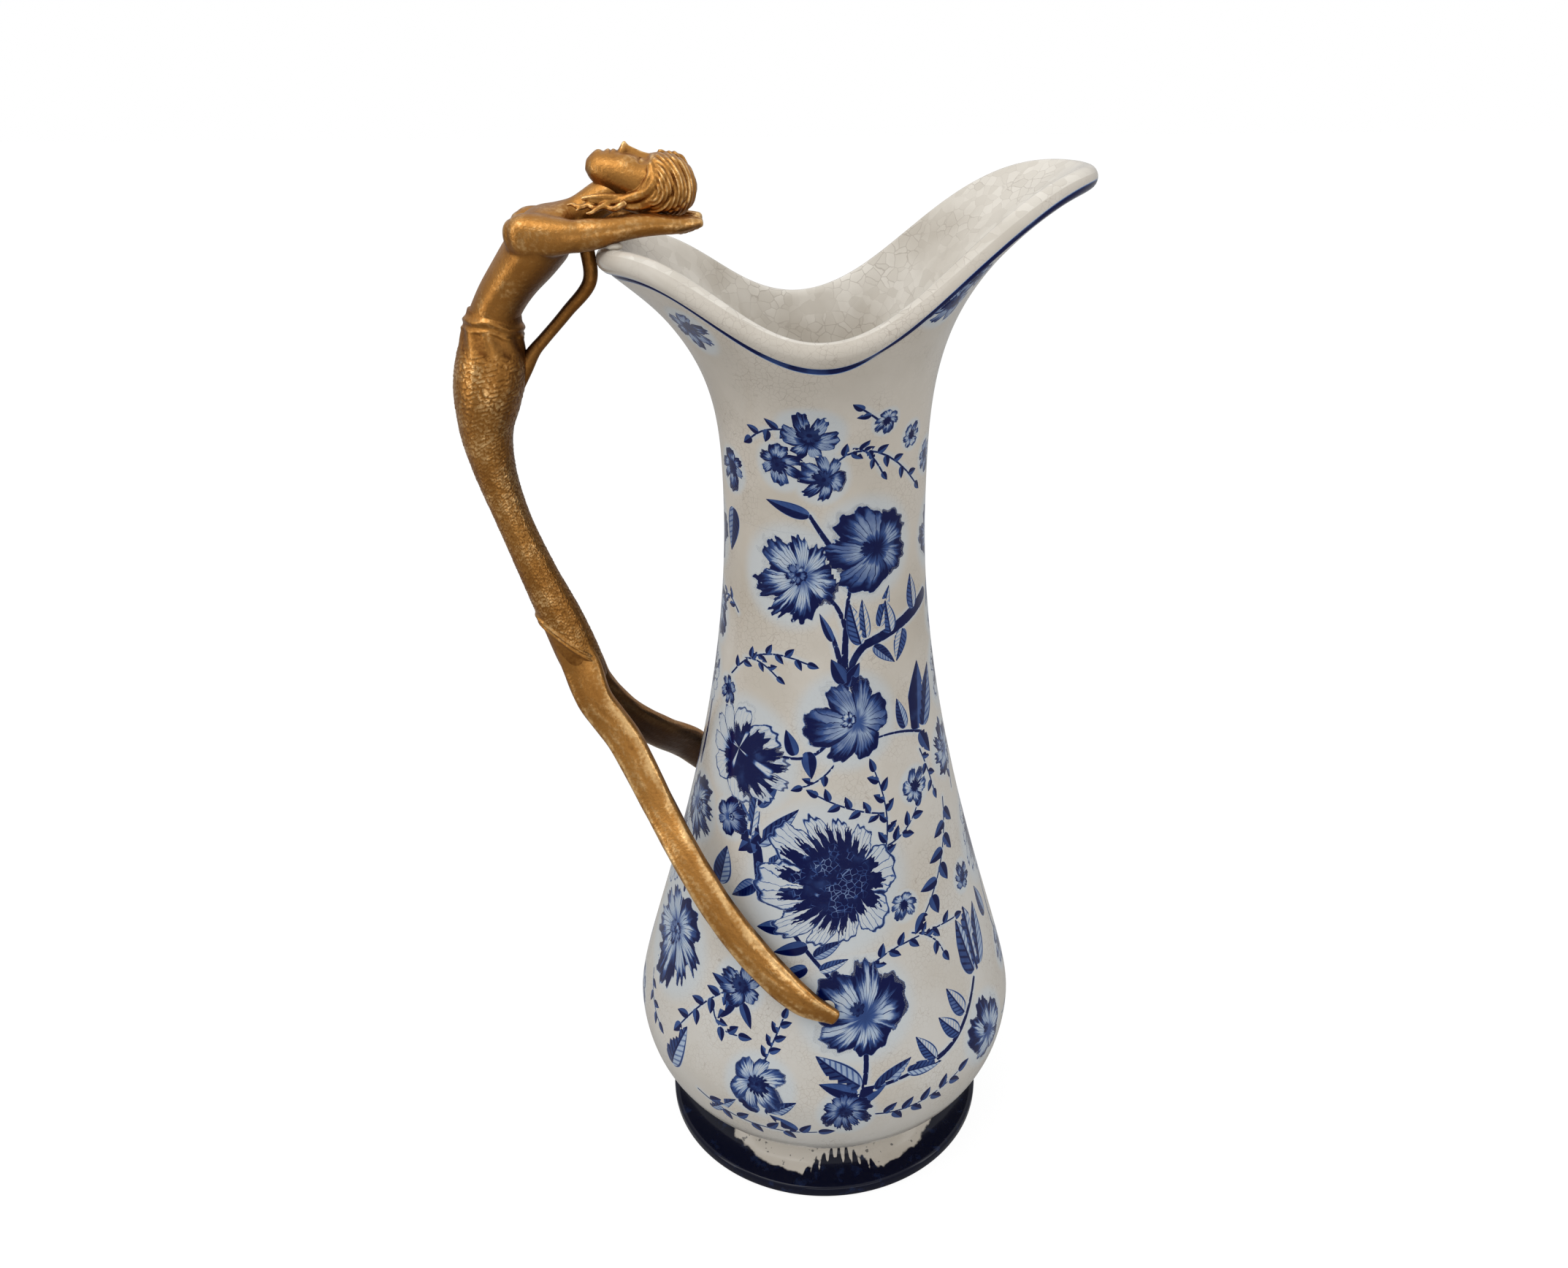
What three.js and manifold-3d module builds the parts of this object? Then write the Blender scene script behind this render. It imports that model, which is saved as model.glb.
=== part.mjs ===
// Glazed porcelain ewer on a cobalt foot, with a cast bronze mermaid for its handle.
// Millimetres, +Z up. The origin is the centre of the foot's underside, +X is the spout and -Y the near side.
import * as THREE from "three";
import { mergeVertices } from "three/addons/utils/BufferGeometryUtils.js";
import Module from "manifold-3d";

// Fits
const seam = 0.3; // gap left between neighbouring pieces
const bed = 0.9; // cement between bronze and porcelain

// Foot
const footRadius = 64;
const footEdge = 5; // height of the upright edge
const footHeight = 17.5;
const footTopRadius = 50;

// Vessel body
const bellyRadius = 74.3;
const bellyHeight = 56.4;
const neckRadius = 34.4;
const neckHeight = 262;
const bellyRise = 18; // upright run of the curve above the belly
const bellyFall = 18; // and below it
const neckDrop = 92; // upright run of the curve below the neck
const wall = 4.6;
const floorThickness = 6;

// Rim: the middle line of the rounded lip
const spoutReach = 81.1;
const backReach = 67.3;
const sideReach = 46.3;
const spoutHeight = 365.2;
const backHeight = 342.4;
const sideHeight = 320.2;
const spoutTaper = 2.1; // narrows the plan of the spout
const rimSkew = 3.6; // moves the widest place of the plan
const rimWave = 5.1; // deepens the dips beside the spout and the handle
const lipThickness = 7.2;

// Angle at which the wall meets the lip, above the horizontal, in degrees
const spoutSlope = 30;
const sideSlope = 66;
const backSlope = 38;

// Figure: torso, neck and head
const figureReach = 36.3; // from the rim's back out to the waist
const shoulderWidth = 29;
const chestDepth = 20;
const bustSize = 15;
const neckThickness = 10.4;
const headLength = 34;
const headWidth = 20.5;
const headDepth = 19;
const headOver = 11.1; // how far the head's middle lies inside the rim's back
const headLift = 22.6; // and above it
const headTilt = 20; // how far the crown drops below the chin, in degrees

// Arms
const armLength = 48;
const armThickness = 7.6; // where the arm crosses the rim
const armSpread = 12.5; // from the middle plane to the crossing

// Tail and flukes
const hipDepth = 22.2;
const hipWidth = 24;
const tailBow = 12; // how far the tail swings out from waist to split
const splitHeight = 205;
const splitStandoff = 48; // from the vessel's wall to the split
const tipHeight = 94;
const tipTurn = 86.6; // how far round the vessel each tip lies from the handle, in degrees
const flukeWidth = 12.4;
const flukeThickness = 6.6;

// Brace between the nape and the hip
const braceThickness = 3.8;
const braceDrop = 8; // upright run beside the rim
const braceHip = 0.2; // where it meets the tail, as a share of the tail's length

// Mesh fineness
const turns = 40; // columns round the vessel and the foot
const bodyRows = 8; // rows in each curve of the body and the foot
const flareRows = 8;
const lipRows = 5;
const limbSides = 12;
const limbSteps = 3; // rings between two stations of a limb
const eggColumns = 12;
const eggRows = 8;

const wasm = await Module();
wasm.setup();

const radians = THREE.MathUtils.degToRad;
const upward = new THREE.Vector3(0, 0, 1);
const sideways = new THREE.Vector3(0, 1, 0);
const vec = (x, y, z) => new THREE.Vector3(x, y, z);
const columnAngles = Array.from({ length: turns }, (_, k) => (2 * Math.PI * k) / turns);

// Closed surface over rings of equal count, each end closed to the middle of its ring.
function skin(rings) {
  const count = rings[0].length;
  const points = rings.flat();
  const faces = [];
  for (let i = 0; i + 1 < rings.length; i++) {
    for (let j = 0; j < count; j++) {
      const next = (j + 1) % count;
      const [a, b] = [i * count + j, i * count + next];
      faces.push(a, b, a + count, b, b + count, a + count);
    }
  }
  const middle = (ring) => ring.reduce((sum, p) => sum.add(p), vec(0, 0, 0)).divideScalar(count);
  const first = points.push(middle(rings[0])) - 1;
  const last = points.push(middle(rings.at(-1))) - 1;
  const top = (rings.length - 1) * count;
  for (let j = 0; j < count; j++) {
    const next = (j + 1) % count;
    faces.push(first, next, j, last, top + j, top + next);
  }
  return new THREE.BufferGeometry().setFromPoints(points).setIndex(faces);
}

// Geometry to a solid that can be joined and cut.
function solid(geometry) {
  const bare = new THREE.BufferGeometry();
  bare.setAttribute("position", geometry.getAttribute("position"));
  bare.setIndex(geometry.index);
  const merged = mergeVertices(bare, 1e-4);
  return new wasm.Manifold(
    new wasm.Mesh({
      numProp: 3,
      vertProperties: new Float32Array(merged.attributes.position.array),
      triVerts: new Uint32Array(merged.index.array),
    }),
  );
}

// Solid back to a named mesh.
function piece(name, body, material) {
  const { vertProperties, triVerts } = body.getMesh();
  const geometry = new THREE.BufferGeometry();
  geometry.setAttribute("position", new THREE.BufferAttribute(vertProperties, 3));
  geometry.setIndex(new THREE.BufferAttribute(triVerts, 1));
  geometry.computeVertexNormals();
  const mesh = new THREE.Mesh(geometry, material);
  mesh.name = name;
  return mesh;
}

// Vessel body: the outer radius at each height, from the foot to the neck.
const seatHeight = footHeight + seam;
const profilePoint = (r, z) => new THREE.Vector2(r, z);
const shoulderRun = (bellyRadius - footTopRadius) * 0.66; // how far the base runs out before it turns up
const lowerCurve = new THREE.CubicBezierCurve(
  profilePoint(footTopRadius, seatHeight),
  profilePoint(footTopRadius + shoulderRun, seatHeight + shoulderRun / 4),
  profilePoint(bellyRadius, bellyHeight - bellyFall),
  profilePoint(bellyRadius, bellyHeight),
);
const upperCurve = new THREE.CubicBezierCurve(
  profilePoint(bellyRadius, bellyHeight),
  profilePoint(bellyRadius, bellyHeight + bellyRise),
  profilePoint(neckRadius, neckHeight - neckDrop),
  profilePoint(neckRadius, neckHeight),
);
const fineProfile = [...lowerCurve.getPoints(60), ...upperCurve.getPoints(120).slice(1)];

function bodyRadius(z) {
  const above = fineProfile.findIndex((p) => p.y >= z);
  if (above < 1) return above ? neckRadius : footTopRadius;
  const [low, high] = [fineProfile[above - 1], fineProfile[above]];
  return THREE.MathUtils.mapLinear(z, low.y, high.y, low.x, high.x);
}

// Level thickness of the wall where it leans, so that it stays even across its slope.
function levelWall(z) {
  const rise = 1;
  const lean = (bodyRadius(z + rise / 2) - bodyRadius(z - rise / 2)) / rise;
  return wall * Math.hypot(1, lean);
}

// Middle line of the lip at an angle round the vessel, from cosine terms that meet the named reaches and heights.
function rimPoint(t) {
  const halfLength = (spoutReach + backReach) / 2;
  const offset = (spoutReach - backReach) / 2;
  const x =
    offset - rimSkew + (halfLength - spoutTaper) * Math.cos(t) + rimSkew * Math.cos(2 * t) + spoutTaper * Math.cos(3 * t);
  const endMean = (spoutHeight + backHeight) / 2;
  const mean = (endMean + sideHeight) / 2 + rimWave;
  const lift = (endMean - sideHeight) / 2;
  const lean = (spoutHeight - backHeight) / 2;
  const z = mean + lean * Math.cos(t) + lift * Math.cos(2 * t) - rimWave * Math.cos(4 * t);
  return vec(x, sideReach * Math.sin(t), z);
}

// Middle surface of the flaring wall: at each angle a curve from the neck's circle to the lip.
function flareCurve(t) {
  const neck = vec(Math.cos(t), Math.sin(t), 0).multiplyScalar(neckRadius - wall / 2);
  neck.z = neckHeight;
  const rim = rimPoint(t);
  const toEnds = Math.cos(t) ** 2;
  const slope = radians(sideSlope + ((Math.cos(t) > 0 ? spoutSlope : backSlope) - sideSlope) * toEnds);
  const outward = rim.clone().sub(neck).setZ(0).normalize();
  const leave = outward.multiplyScalar(Math.cos(slope)).addScaledVector(upward, Math.sin(slope));
  const span = rim.distanceTo(neck);
  const rise = neck.clone().addScaledVector(upward, 0.38 * span);
  const arrive = rim.clone().addScaledVector(leave, -0.49 * span);
  return new THREE.CubicBezierCurve3(neck, rise, arrive, rim);
}

// Vessel as one closed surface: seat, outer wall, lip, inner wall and floor. Growing it thickens it all round.
function vesselSolid(grow = 0) {
  const level = (radius, z) => columnAngles.map((t) => vec(radius * Math.cos(t), radius * Math.sin(t), z));
  const rows = (curve) => curve.getPoints(bodyRows).slice(0, -1);
  const body = [...rows(lowerCurve), ...rows(upperCurve)];
  const outer = body.map((p) => level(p.x + grow, p.y - (p.y === seatHeight ? grow : 0)));
  const floor = seatHeight + floorThickness;
  const innerHeights = [floor, ...body.map((p) => p.y).filter((z) => z > floor + wall / 2)].reverse();
  const inner = innerHeights.map((z) => level(bodyRadius(z) - levelWall(z) - grow, z));

  const step = 0.01;
  const curves = columnAngles.map((t) => [flareCurve(t - step), flareCurve(t), flareCurve(t + step)]);
  const flare = (s) =>
    curves.map(([before, curve, after]) => {
      const along = curve.getTangent(s);
      const around = after.getPoint(s).sub(before.getPoint(s));
      const normal = around.cross(along).normalize();
      return { at: curve.getPoint(s), along, normal };
    });
  const sections = Array.from({ length: flareRows + 1 }, (_, i) => flare(i / flareRows));
  const half = (i) => {
    const swell = THREE.MathUtils.smoothstep(i / flareRows, 0.7, 1);
    return THREE.MathUtils.lerp(wall, lipThickness, swell) / 2 + grow;
  };
  const side = (sign) =>
    sections.map((section, i) => section.map((p) => p.at.clone().addScaledVector(p.normal, sign * half(i))));
  const lip = Array.from({ length: lipRows }, (_, k) => {
    const a = (Math.PI * (k + 1)) / (lipRows + 1);
    const round = lipThickness / 2 + grow;
    return sections.at(-1).map((p) =>
      p.at
        .clone()
        .addScaledVector(p.normal, round * Math.cos(a))
        .addScaledVector(p.along, round * Math.sin(a)),
    );
  });
  return solid(skin([...outer, ...side(1), ...lip, ...side(-1).reverse(), ...inner]));
}

// Foot: an upright edge, then a hollow slope up to the seat.
function footSolid() {
  const hollow = new THREE.QuadraticBezierCurve(
    profilePoint(footRadius, footEdge),
    profilePoint(footTopRadius, footEdge),
    profilePoint(footTopRadius, footHeight),
  );
  const outline = [profilePoint(0, 0), profilePoint(footRadius, 0), ...hollow.getPoints(bodyRows), profilePoint(0, footHeight)];
  return solid(new THREE.LatheGeometry(outline, turns).rotateX(Math.PI / 2));
}

// Limb: ellipses along a smooth path of stations {at, depth, width}, depth in the path's upright plane, width across it.
function limbSolid(stations, grow = 0) {
  const path = new THREE.CatmullRomCurve3(stations.map((s) => s.at), false, "centripetal");
  const sizes = new THREE.CatmullRomCurve3(stations.map((s) => vec(s.depth, s.width, 0)));
  const last = (stations.length - 1) * limbSteps;
  const rings = Array.from({ length: last + 1 }, (_, i) => {
    const u = i / last;
    const along = path.getTangent(u);
    const across = sideways.clone().addScaledVector(along, -sideways.dot(along)).normalize();
    const inPlane = across.clone().cross(along);
    const size = sizes.getPoint(u);
    const end = i === 0 ? -grow : i === last ? grow : 0;
    const centre = path.getPoint(u).addScaledVector(along, end);
    return Array.from({ length: limbSides }, (_, j) => {
      const a = (2 * Math.PI * j) / limbSides;
      return centre
        .clone()
        .addScaledVector(inPlane, (size.x / 2 + grow) * Math.cos(a))
        .addScaledVector(across, (size.y / 2 + grow) * Math.sin(a));
    });
  });
  return solid(skin(rings));
}

// Ellipsoid of full sizes along its own axes, turned about Y by a tilt and moved to its place.
function eggSolid(at, sizes, tilt = 0, grow = 0) {
  const egg = new THREE.SphereGeometry(0.5, eggColumns, eggRows);
  egg.scale(...sizes.map((size) => size + 2 * grow));
  return solid(egg.rotateY(tilt).translate(at.x, at.y, at.z));
}

// Places on the vessel and the figure that other pieces share.
const rest = rimPoint(Math.PI); // the lip's back
const crossTurn = Math.asin(armSpread / sideReach);
const bedding = bed + 2 * seam; // from porcelain to bronze
const onFigure = (out, up) => vec(rest.x - out * figureReach, 0, rest.z + up * figureReach);
const waist = onFigure(1, -0.468);
const neckRoot = onFigure(0.21, 0.364);
const split = vec(-bodyRadius(splitHeight) - splitStandoff, 0, splitHeight);
const headMiddle = vec(rest.x + headOver, 0, rest.z + headLift);

// Point at a turn from the handle towards one side, at a height, standing off the vessel's wall.
function offWall(side, turn, z, standoff) {
  const radius = bodyRadius(z) + standoff;
  return vec(-radius * Math.cos(radians(turn)), side * radius * Math.sin(radians(turn)), z);
}

// Torso from the waist to the nape, with the bust drawn up towards the raised arms: places in shares of the reach,
// sizes in shares of the chest, shoulders and bust.
function torsoLimb(grow = 0) {
  const shares = [
    [1.033, -0.537, 0.785, 0.6],
    [0.926, -0.325, 0.75, 0.655],
    [0.807, -0.16, 0.78, 0.76],
    [0.634, 0.041, 0.875, 0.914],
    [0.482, 0.207, 0.875, 1],
    [0.331, 0.298, 0.65, 0.76],
  ];
  const stations = shares.map(([out, up, deep, wide]) => ({
    at: onFigure(out, up),
    depth: deep * chestDepth,
    width: wide * shoulderWidth,
  }));
  stations.push({ at: neckRoot, depth: neckThickness, width: neckThickness });
  stations.push({ at: onFigure(0.014, 0.606), depth: neckThickness, width: neckThickness });
  const trunk = limbSolid(stations, grow);
  const breast = [
    [0.7, 0.15, 0.24, 0.66, 0.56],
    [0.585, 0.2, 0.3, 0.86, 0.76],
    [0.42, 0.2, 0.37, 0.8, 0.68],
    [0.29, 0.19, 0.42, 0.64, 0.54],
  ];
  const bust = [-1, 1].map((side) => {
    const places = breast.map(([out, up, spread, deep, wide]) => ({
      at: onFigure(out, up).setY(side * spread * shoulderWidth),
      depth: deep * bustSize,
      width: wide * bustSize,
    }));
    return limbSolid(places, grow);
  });
  return trunk.add(bust[0]).add(bust[1]);
}

// Head: skull, hair drawn back from the brow, jaw and nose on plain proportions of the head's length.
function headSolid(grow = 0) {
  const tilt = radians(headTilt);
  const toCrown = vec(Math.cos(tilt), 0, -Math.sin(tilt));
  const toFace = vec(Math.sin(tilt), 0, Math.cos(tilt));
  const place = (along, out) =>
    headMiddle.clone().addScaledVector(toCrown, along * headLength).addScaledVector(toFace, out * headDepth);
  const egg = (along, out, long, wide, deep) =>
    eggSolid(place(along, out), [long * headLength, wide * headWidth, deep * headDepth], tilt, grow);
  const skull = egg(0.04, 0.02, 0.92, 0.94, 0.94);
  const hair = egg(0.14, -0.12, 0.72, 1, 0.86);
  const jaw = egg(-0.27, 0.08, 0.46, 0.66, 0.62);
  const nose = egg(-0.14, 0.42, 0.2, 0.16, 0.2);
  return skull.add(hair).add(jaw).add(nose);
}

// Arm: over the rim and back under the head, palm up. Places in shares of the arm's length from the crossing.
function armLimb(side, grow = 0) {
  const cross = rimPoint(Math.PI - crossTurn);
  const height = cross.z + (lipThickness + armThickness) / 2 + bedding;
  const shares = [
    [-0.34, -0.03, 0.94, 0.9, 0.8],
    [-0.24, -0.035, 0.98, 1.2, 1],
    [-0.12, -0.02, 1.02, 1.15, 1.03],
    [0, 0, 1, 1, 0.97],
    [0.135, 0.019, 0.9, 0.92, 0.92],
    [0.27, 0.025, 0.8, 0.84, 0.88],
    [0.406, 0.019, 0.66, 0.7, 1.05],
    [0.53, 0.027, 0.46, 0.42, 0.7],
  ];
  const stations = shares.map(([along, up, spread, deep, wide]) => ({
    at: vec(cross.x + along * armLength, side * spread * armSpread, height + up * armLength),
    depth: deep * armThickness,
    width: wide * armThickness,
  }));
  return limbSolid(stations, grow);
}

// Tail from the waist to the split: a chord with a bow outwards, full at the hips and slim below.
function tailLimb(grow = 0) {
  const shares = [
    [0, 0, 0.77, 0.74],
    [0.06, 0.18, 0.88, 0.84],
    [0.13, 0.4, 0.98, 0.95],
    [0.2, 0.66, 0.95, 1],
    [0.3, 0.95, 0.75, 0.8],
    [0.41, 1.01, 0.595, 0.62],
    [0.55, 0.875, 0.5, 0.52],
    [0.72, 0.57, 0.545, 0.5],
    [0.87, 0.24, 0.645, 0.54],
    [1, 0, 0.72, 0.6],
  ];
  return limbSolid(
    shares.map(([share, bow, deep, wide]) => ({
      at: waist.clone().lerp(split, share).add(vec(-bow * tailBow, 0, 0)),
      depth: deep * hipDepth,
      width: wide * hipWidth,
    })),
    grow,
  );
}

// Fluke: from the split down and round the vessel to a rounded tip bedded on the belly.
function flukeLimb(side, grow = 0) {
  const tipShare = 0.5; // the tip's thickness
  const rootTurn = THREE.MathUtils.radToDeg(Math.asin((flukeThickness / 2 + seam) / -split.x));
  const tipStandoff = (tipShare * flukeThickness) / 2 + bedding;
  const shares = [
    [0, -0.03, 1.02, 0.9, 1],
    [0.03, 0.11, 0.885, 1.05, 1.05],
    [0.097, 0.233, 0.643, 1, 1],
    [0.233, 0.421, 0.396, 0.92, 0.97],
    [0.4, 0.556, 0.28, 0.9, 0.95],
    [0.576, 0.698, 0.202, 0.93, 0.95],
    [0.74, 0.825, 0.152, 0.95, 0.9],
    [0.893, 0.942, 0.104, 0.75, 0.75],
  ];
  const stations = shares.map(([turn, fall, off, wide, thick]) => ({
    at: offWall(
      side,
      THREE.MathUtils.lerp(rootTurn, tipTurn, turn),
      THREE.MathUtils.lerp(splitHeight, tipHeight, fall),
      off * splitStandoff,
    ),
    depth: wide * flukeWidth,
    width: thick * flukeThickness,
  }));
  stations.push({
    at: offWall(side, tipTurn, tipHeight, tipStandoff),
    depth: 0.34 * flukeWidth,
    width: tipShare * flukeThickness,
  });
  return limbSolid(stations, grow);
}

// Brace: from the nape down beside the lip, then slanting out to the hip.
function braceLimb() {
  const clear = (lipThickness + braceThickness) / 2 + seam;
  const beside = rest.clone().add(vec(-clear, 0, 0));
  const bend = beside.clone().add(vec(0, 0, -braceDrop));
  const hip = waist.clone().lerp(split, braceHip).add(vec(-0.2 * hipDepth, 0, 0));
  const path = [neckRoot, beside, bend, bend.clone().lerp(hip, 0.5), hip];
  return limbSolid(path.map((at) => ({ at, depth: braceThickness, width: braceThickness })));
}

// Solids, each cut clear of its neighbours by the seam.
const grownVessel = vesselSolid(seam);
const grownTail = tailLimb(seam);
const grownHead = headSolid(seam);
const torso = torsoLimb().subtract(grownTail).subtract(grownHead);
const grownTorso = torsoLimb(seam);

function armSolid(side) {
  return armLimb(side).subtract(grownTorso).subtract(grownHead);
}

function flukeSolid(side) {
  return flukeLimb(side).subtract(grownTail);
}

const brace = braceLimb()
  .subtract(grownTorso)
  .subtract(grownTail)
  .subtract(armLimb(-1, seam))
  .subtract(armLimb(1, seam));

// Cement under an arm: a small bed between the lip and the arm.
function armCement(side) {
  const cross = rimPoint(Math.PI - crossTurn);
  const at = vec(cross.x, side * armSpread, cross.z + (lipThickness + bedding) / 2);
  const spread = [armThickness * 1.1, armThickness * 1.1, lipThickness / 2 + bedding];
  return eggSolid(at, spread).subtract(grownVessel).subtract(armLimb(side, seam));
}

// Cement under a fluke's tip: a small bed between the belly and the tip.
function flukeCement(side) {
  const at = offWall(side, tipTurn - 2, tipHeight + 2, bedding / 2);
  const spread = [flukeWidth * 0.7, flukeThickness * 0.6, flukeWidth * 0.75];
  return eggSolid(at, spread).subtract(grownVessel).subtract(flukeLimb(side, seam));
}

const porcelain = new THREE.MeshStandardMaterial({ color: 0xe6e0d4, roughness: 0.16, metalness: 0 });
const cobalt = new THREE.MeshStandardMaterial({ color: 0x131c4a, roughness: 0.14, metalness: 0 });
const bronze = new THREE.MeshStandardMaterial({ color: 0xa8742c, roughness: 0.36, metalness: 1 });
const cement = new THREE.MeshStandardMaterial({ color: 0xcfc9bb, roughness: 0.9, metalness: 0 });

const ewer = new THREE.Group();
ewer.add(
  piece("foot", footSolid(), cobalt),
  piece("vessel", vesselSolid(), porcelain),
  piece("torso", torso, bronze),
  piece("head", headSolid(), bronze),
  piece("tail", tailLimb(), bronze),
  piece("rim_brace", brace, bronze),
);
for (const [name, side] of [["near", -1], ["far", 1]]) {
  ewer.add(
    piece(`${name}_arm`, armSolid(side), bronze),
    piece(`${name}_fluke`, flukeSolid(side), bronze),
    piece(`${name}_arm_cement`, armCement(side), cement),
    piece(`${name}_fluke_cement`, flukeCement(side), cement),
  );
}

export default ewer;
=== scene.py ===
# Porcelain ewer: blue flowers under a crackled glaze, a cobalt foot and a bronze mermaid for its handle.
import bpy
import numpy as np
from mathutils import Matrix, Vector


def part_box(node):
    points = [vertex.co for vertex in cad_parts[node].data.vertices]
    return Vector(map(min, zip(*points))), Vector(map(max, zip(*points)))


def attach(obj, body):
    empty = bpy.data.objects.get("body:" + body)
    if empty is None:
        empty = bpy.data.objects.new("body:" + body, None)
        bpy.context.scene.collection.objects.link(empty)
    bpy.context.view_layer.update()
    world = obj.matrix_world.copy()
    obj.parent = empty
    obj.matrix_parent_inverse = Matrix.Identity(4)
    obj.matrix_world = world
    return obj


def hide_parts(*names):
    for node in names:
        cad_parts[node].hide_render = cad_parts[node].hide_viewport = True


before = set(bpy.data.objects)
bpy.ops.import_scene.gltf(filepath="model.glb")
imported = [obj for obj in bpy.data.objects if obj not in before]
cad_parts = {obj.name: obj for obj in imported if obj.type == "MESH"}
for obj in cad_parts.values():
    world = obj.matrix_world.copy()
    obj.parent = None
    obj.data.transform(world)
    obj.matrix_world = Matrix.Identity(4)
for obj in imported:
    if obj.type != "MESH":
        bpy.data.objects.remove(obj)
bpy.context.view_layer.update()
mm = 0.001  # shapes are worked out in millimetres, and meshes are in metres
upright = np.array([0, 0, 1])
scene = bpy.context.scene
scene.view_settings.view_transform = "Standard"
print("frame loaded:", len(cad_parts), "nodes")

cameraPlan = {
    "place": (-44.0, -401.0, 401.9),  # millimetres
    "lookDown": 25.4,  # degrees below level
    "turn": -6.26,  # degrees about the upright
    "focal": 1700,  # pixels of the picture
    "pictureWidth": 2147,
    "sideShift": 55.3,  # the lens axis right of the picture's middle, in pixels
    "sensor": 36,
}


def makeCamera(plan):
    lens = bpy.data.cameras.new("pictureCamera")
    lens.sensor_width = plan["sensor"]
    lens.lens = plan["focal"] / plan["pictureWidth"] * plan["sensor"]
    lens.shift_x = -plan["sideShift"] / plan["pictureWidth"]
    camera = bpy.data.objects.new("pictureCamera", lens)
    camera.location = np.array(plan["place"]) * mm
    camera.rotation_euler = np.radians([90 - plan["lookDown"], 0, plan["turn"]])
    scene.collection.objects.link(camera)
    scene.camera = camera


makeCamera(cameraPlan)
print("camera set")


class Wire:
    # an output of a node, which can be added, taken off, multiplied and divided
    def __init__(self, pen, socket):
        self.pen, self.socket = pen, socket

    def __add__(self, other):
        return self.pen.maths("ADD", self, other)

    def __sub__(self, other):
        return self.pen.maths("SUBTRACT", self, other)

    def __rsub__(self, other):
        return self.pen.maths("SUBTRACT", other, self)

    def __mul__(self, other):
        return self.pen.maths("MULTIPLY", self, other)

    def __truediv__(self, other):
        return self.pen.maths("DIVIDE", self, other)


class NodePen:
    # short hands for wiring one node tree; a value may be a number, a colour or a wire
    def __init__(self, tree):
        self.tree = tree

    def node(self, kind, inputs=(), **settings):
        node = self.tree.nodes.new("ShaderNode" + kind)
        for key, value in settings.items():
            setattr(node, key, value)
        for key, value in dict(inputs).items():
            self.join(value, node.inputs[key])
        return node

    def join(self, value, socket):
        if isinstance(value, Wire):
            self.tree.links.new(value.socket, socket)
        else:
            socket.default_value = value

    def wire(self, kind, inputs=(), output=0, **settings):
        return Wire(self, self.node(kind, inputs, **settings).outputs[output])

    def wires(self, sockets):
        return {socket.name: Wire(self, socket) for socket in sockets}

    def maths(self, operation, *values):
        return self.wire("Math", enumerate(values), operation=operation)

    def highest(self, first, *others):
        for other in others:
            first = self.maths("MAXIMUM", first, other)
        return first

    def length(self, x, y):
        return self.maths("SQRT", x * x + y * y)

    def ease(self, value, low, high, start=0.0, end=1.0):
        # smooth step from start at low to end at high
        inputs = enumerate((value, low, high, start, end))
        return self.wire("MapRange", inputs, interpolation_type="SMOOTHSTEP")

    def noise(self, vector, scale, detail=2.0, output="Fac"):
        return self.wire("TexNoise", {"Vector": vector, "Scale": scale, "Detail": detail}, output)

    def cells(self, vector, scale, output, feature="F1"):
        return self.wire("TexVoronoi", {"Vector": vector, "Scale": scale}, output, feature=feature)

    def blend(self, share, first, second):
        return self.wire("Mix", {0: share, 6: first, 7: second}, 2, data_type="RGBA")

    def between(self, share, first, second):
        return self.wire("Mix", {0: share, 2: first, 3: second})

    def parts(self, vector):
        return [Wire(self, socket) for socket in self.node("SeparateXYZ", {0: vector}).outputs]

    def vector(self, *parts):
        return self.wire("CombineXYZ", enumerate(parts))

    def place(self):
        return self.wire("TexCoord", output="Object")

    def attribute(self, name):
        # the three numbers of a piece's own attribute
        return self.parts(self.wire("Attribute", output="Vector", attribute_name=name))

    def group(self, tree, **values):
        return self.wires(self.node("Group", values, node_tree=tree).outputs)

    def bump(self, height, strength, distance):
        return self.wire("Bump", {"Height": height, "Strength": strength, "Distance": distance})


def newGroup(name, inputs, outputs):
    tree = bpy.data.node_groups.new(name, "ShaderNodeTree")
    for label in inputs:
        kind = "NodeSocketVector" if label == "Place" else "NodeSocketFloat"
        tree.interface.new_socket(label, in_out="INPUT", socket_type=kind)
    for label in outputs:
        tree.interface.new_socket(label, in_out="OUTPUT", socket_type="NodeSocketFloat")
    pen = NodePen(tree)
    source = pen.wires(tree.nodes.new("NodeGroupInput").outputs)
    sink = tree.nodes.new("NodeGroupOutput").inputs
    return tree, pen, source, sink


def newMaterial(name, **settings):
    material = bpy.data.materials.new(name)
    material.use_nodes = True
    shader = material.node_tree.nodes["Principled BSDF"]
    for key, value in settings.items():
        shader.inputs[key].default_value = value
    return material, NodePen(material.node_tree), shader.inputs


cracklePlan = {  # noise scales are to the metre
    "waverScale": 350,
    "waver": 0.0012,  # metres
    "fadeScale": 60,
    "cloudScale": 25,
}


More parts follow.
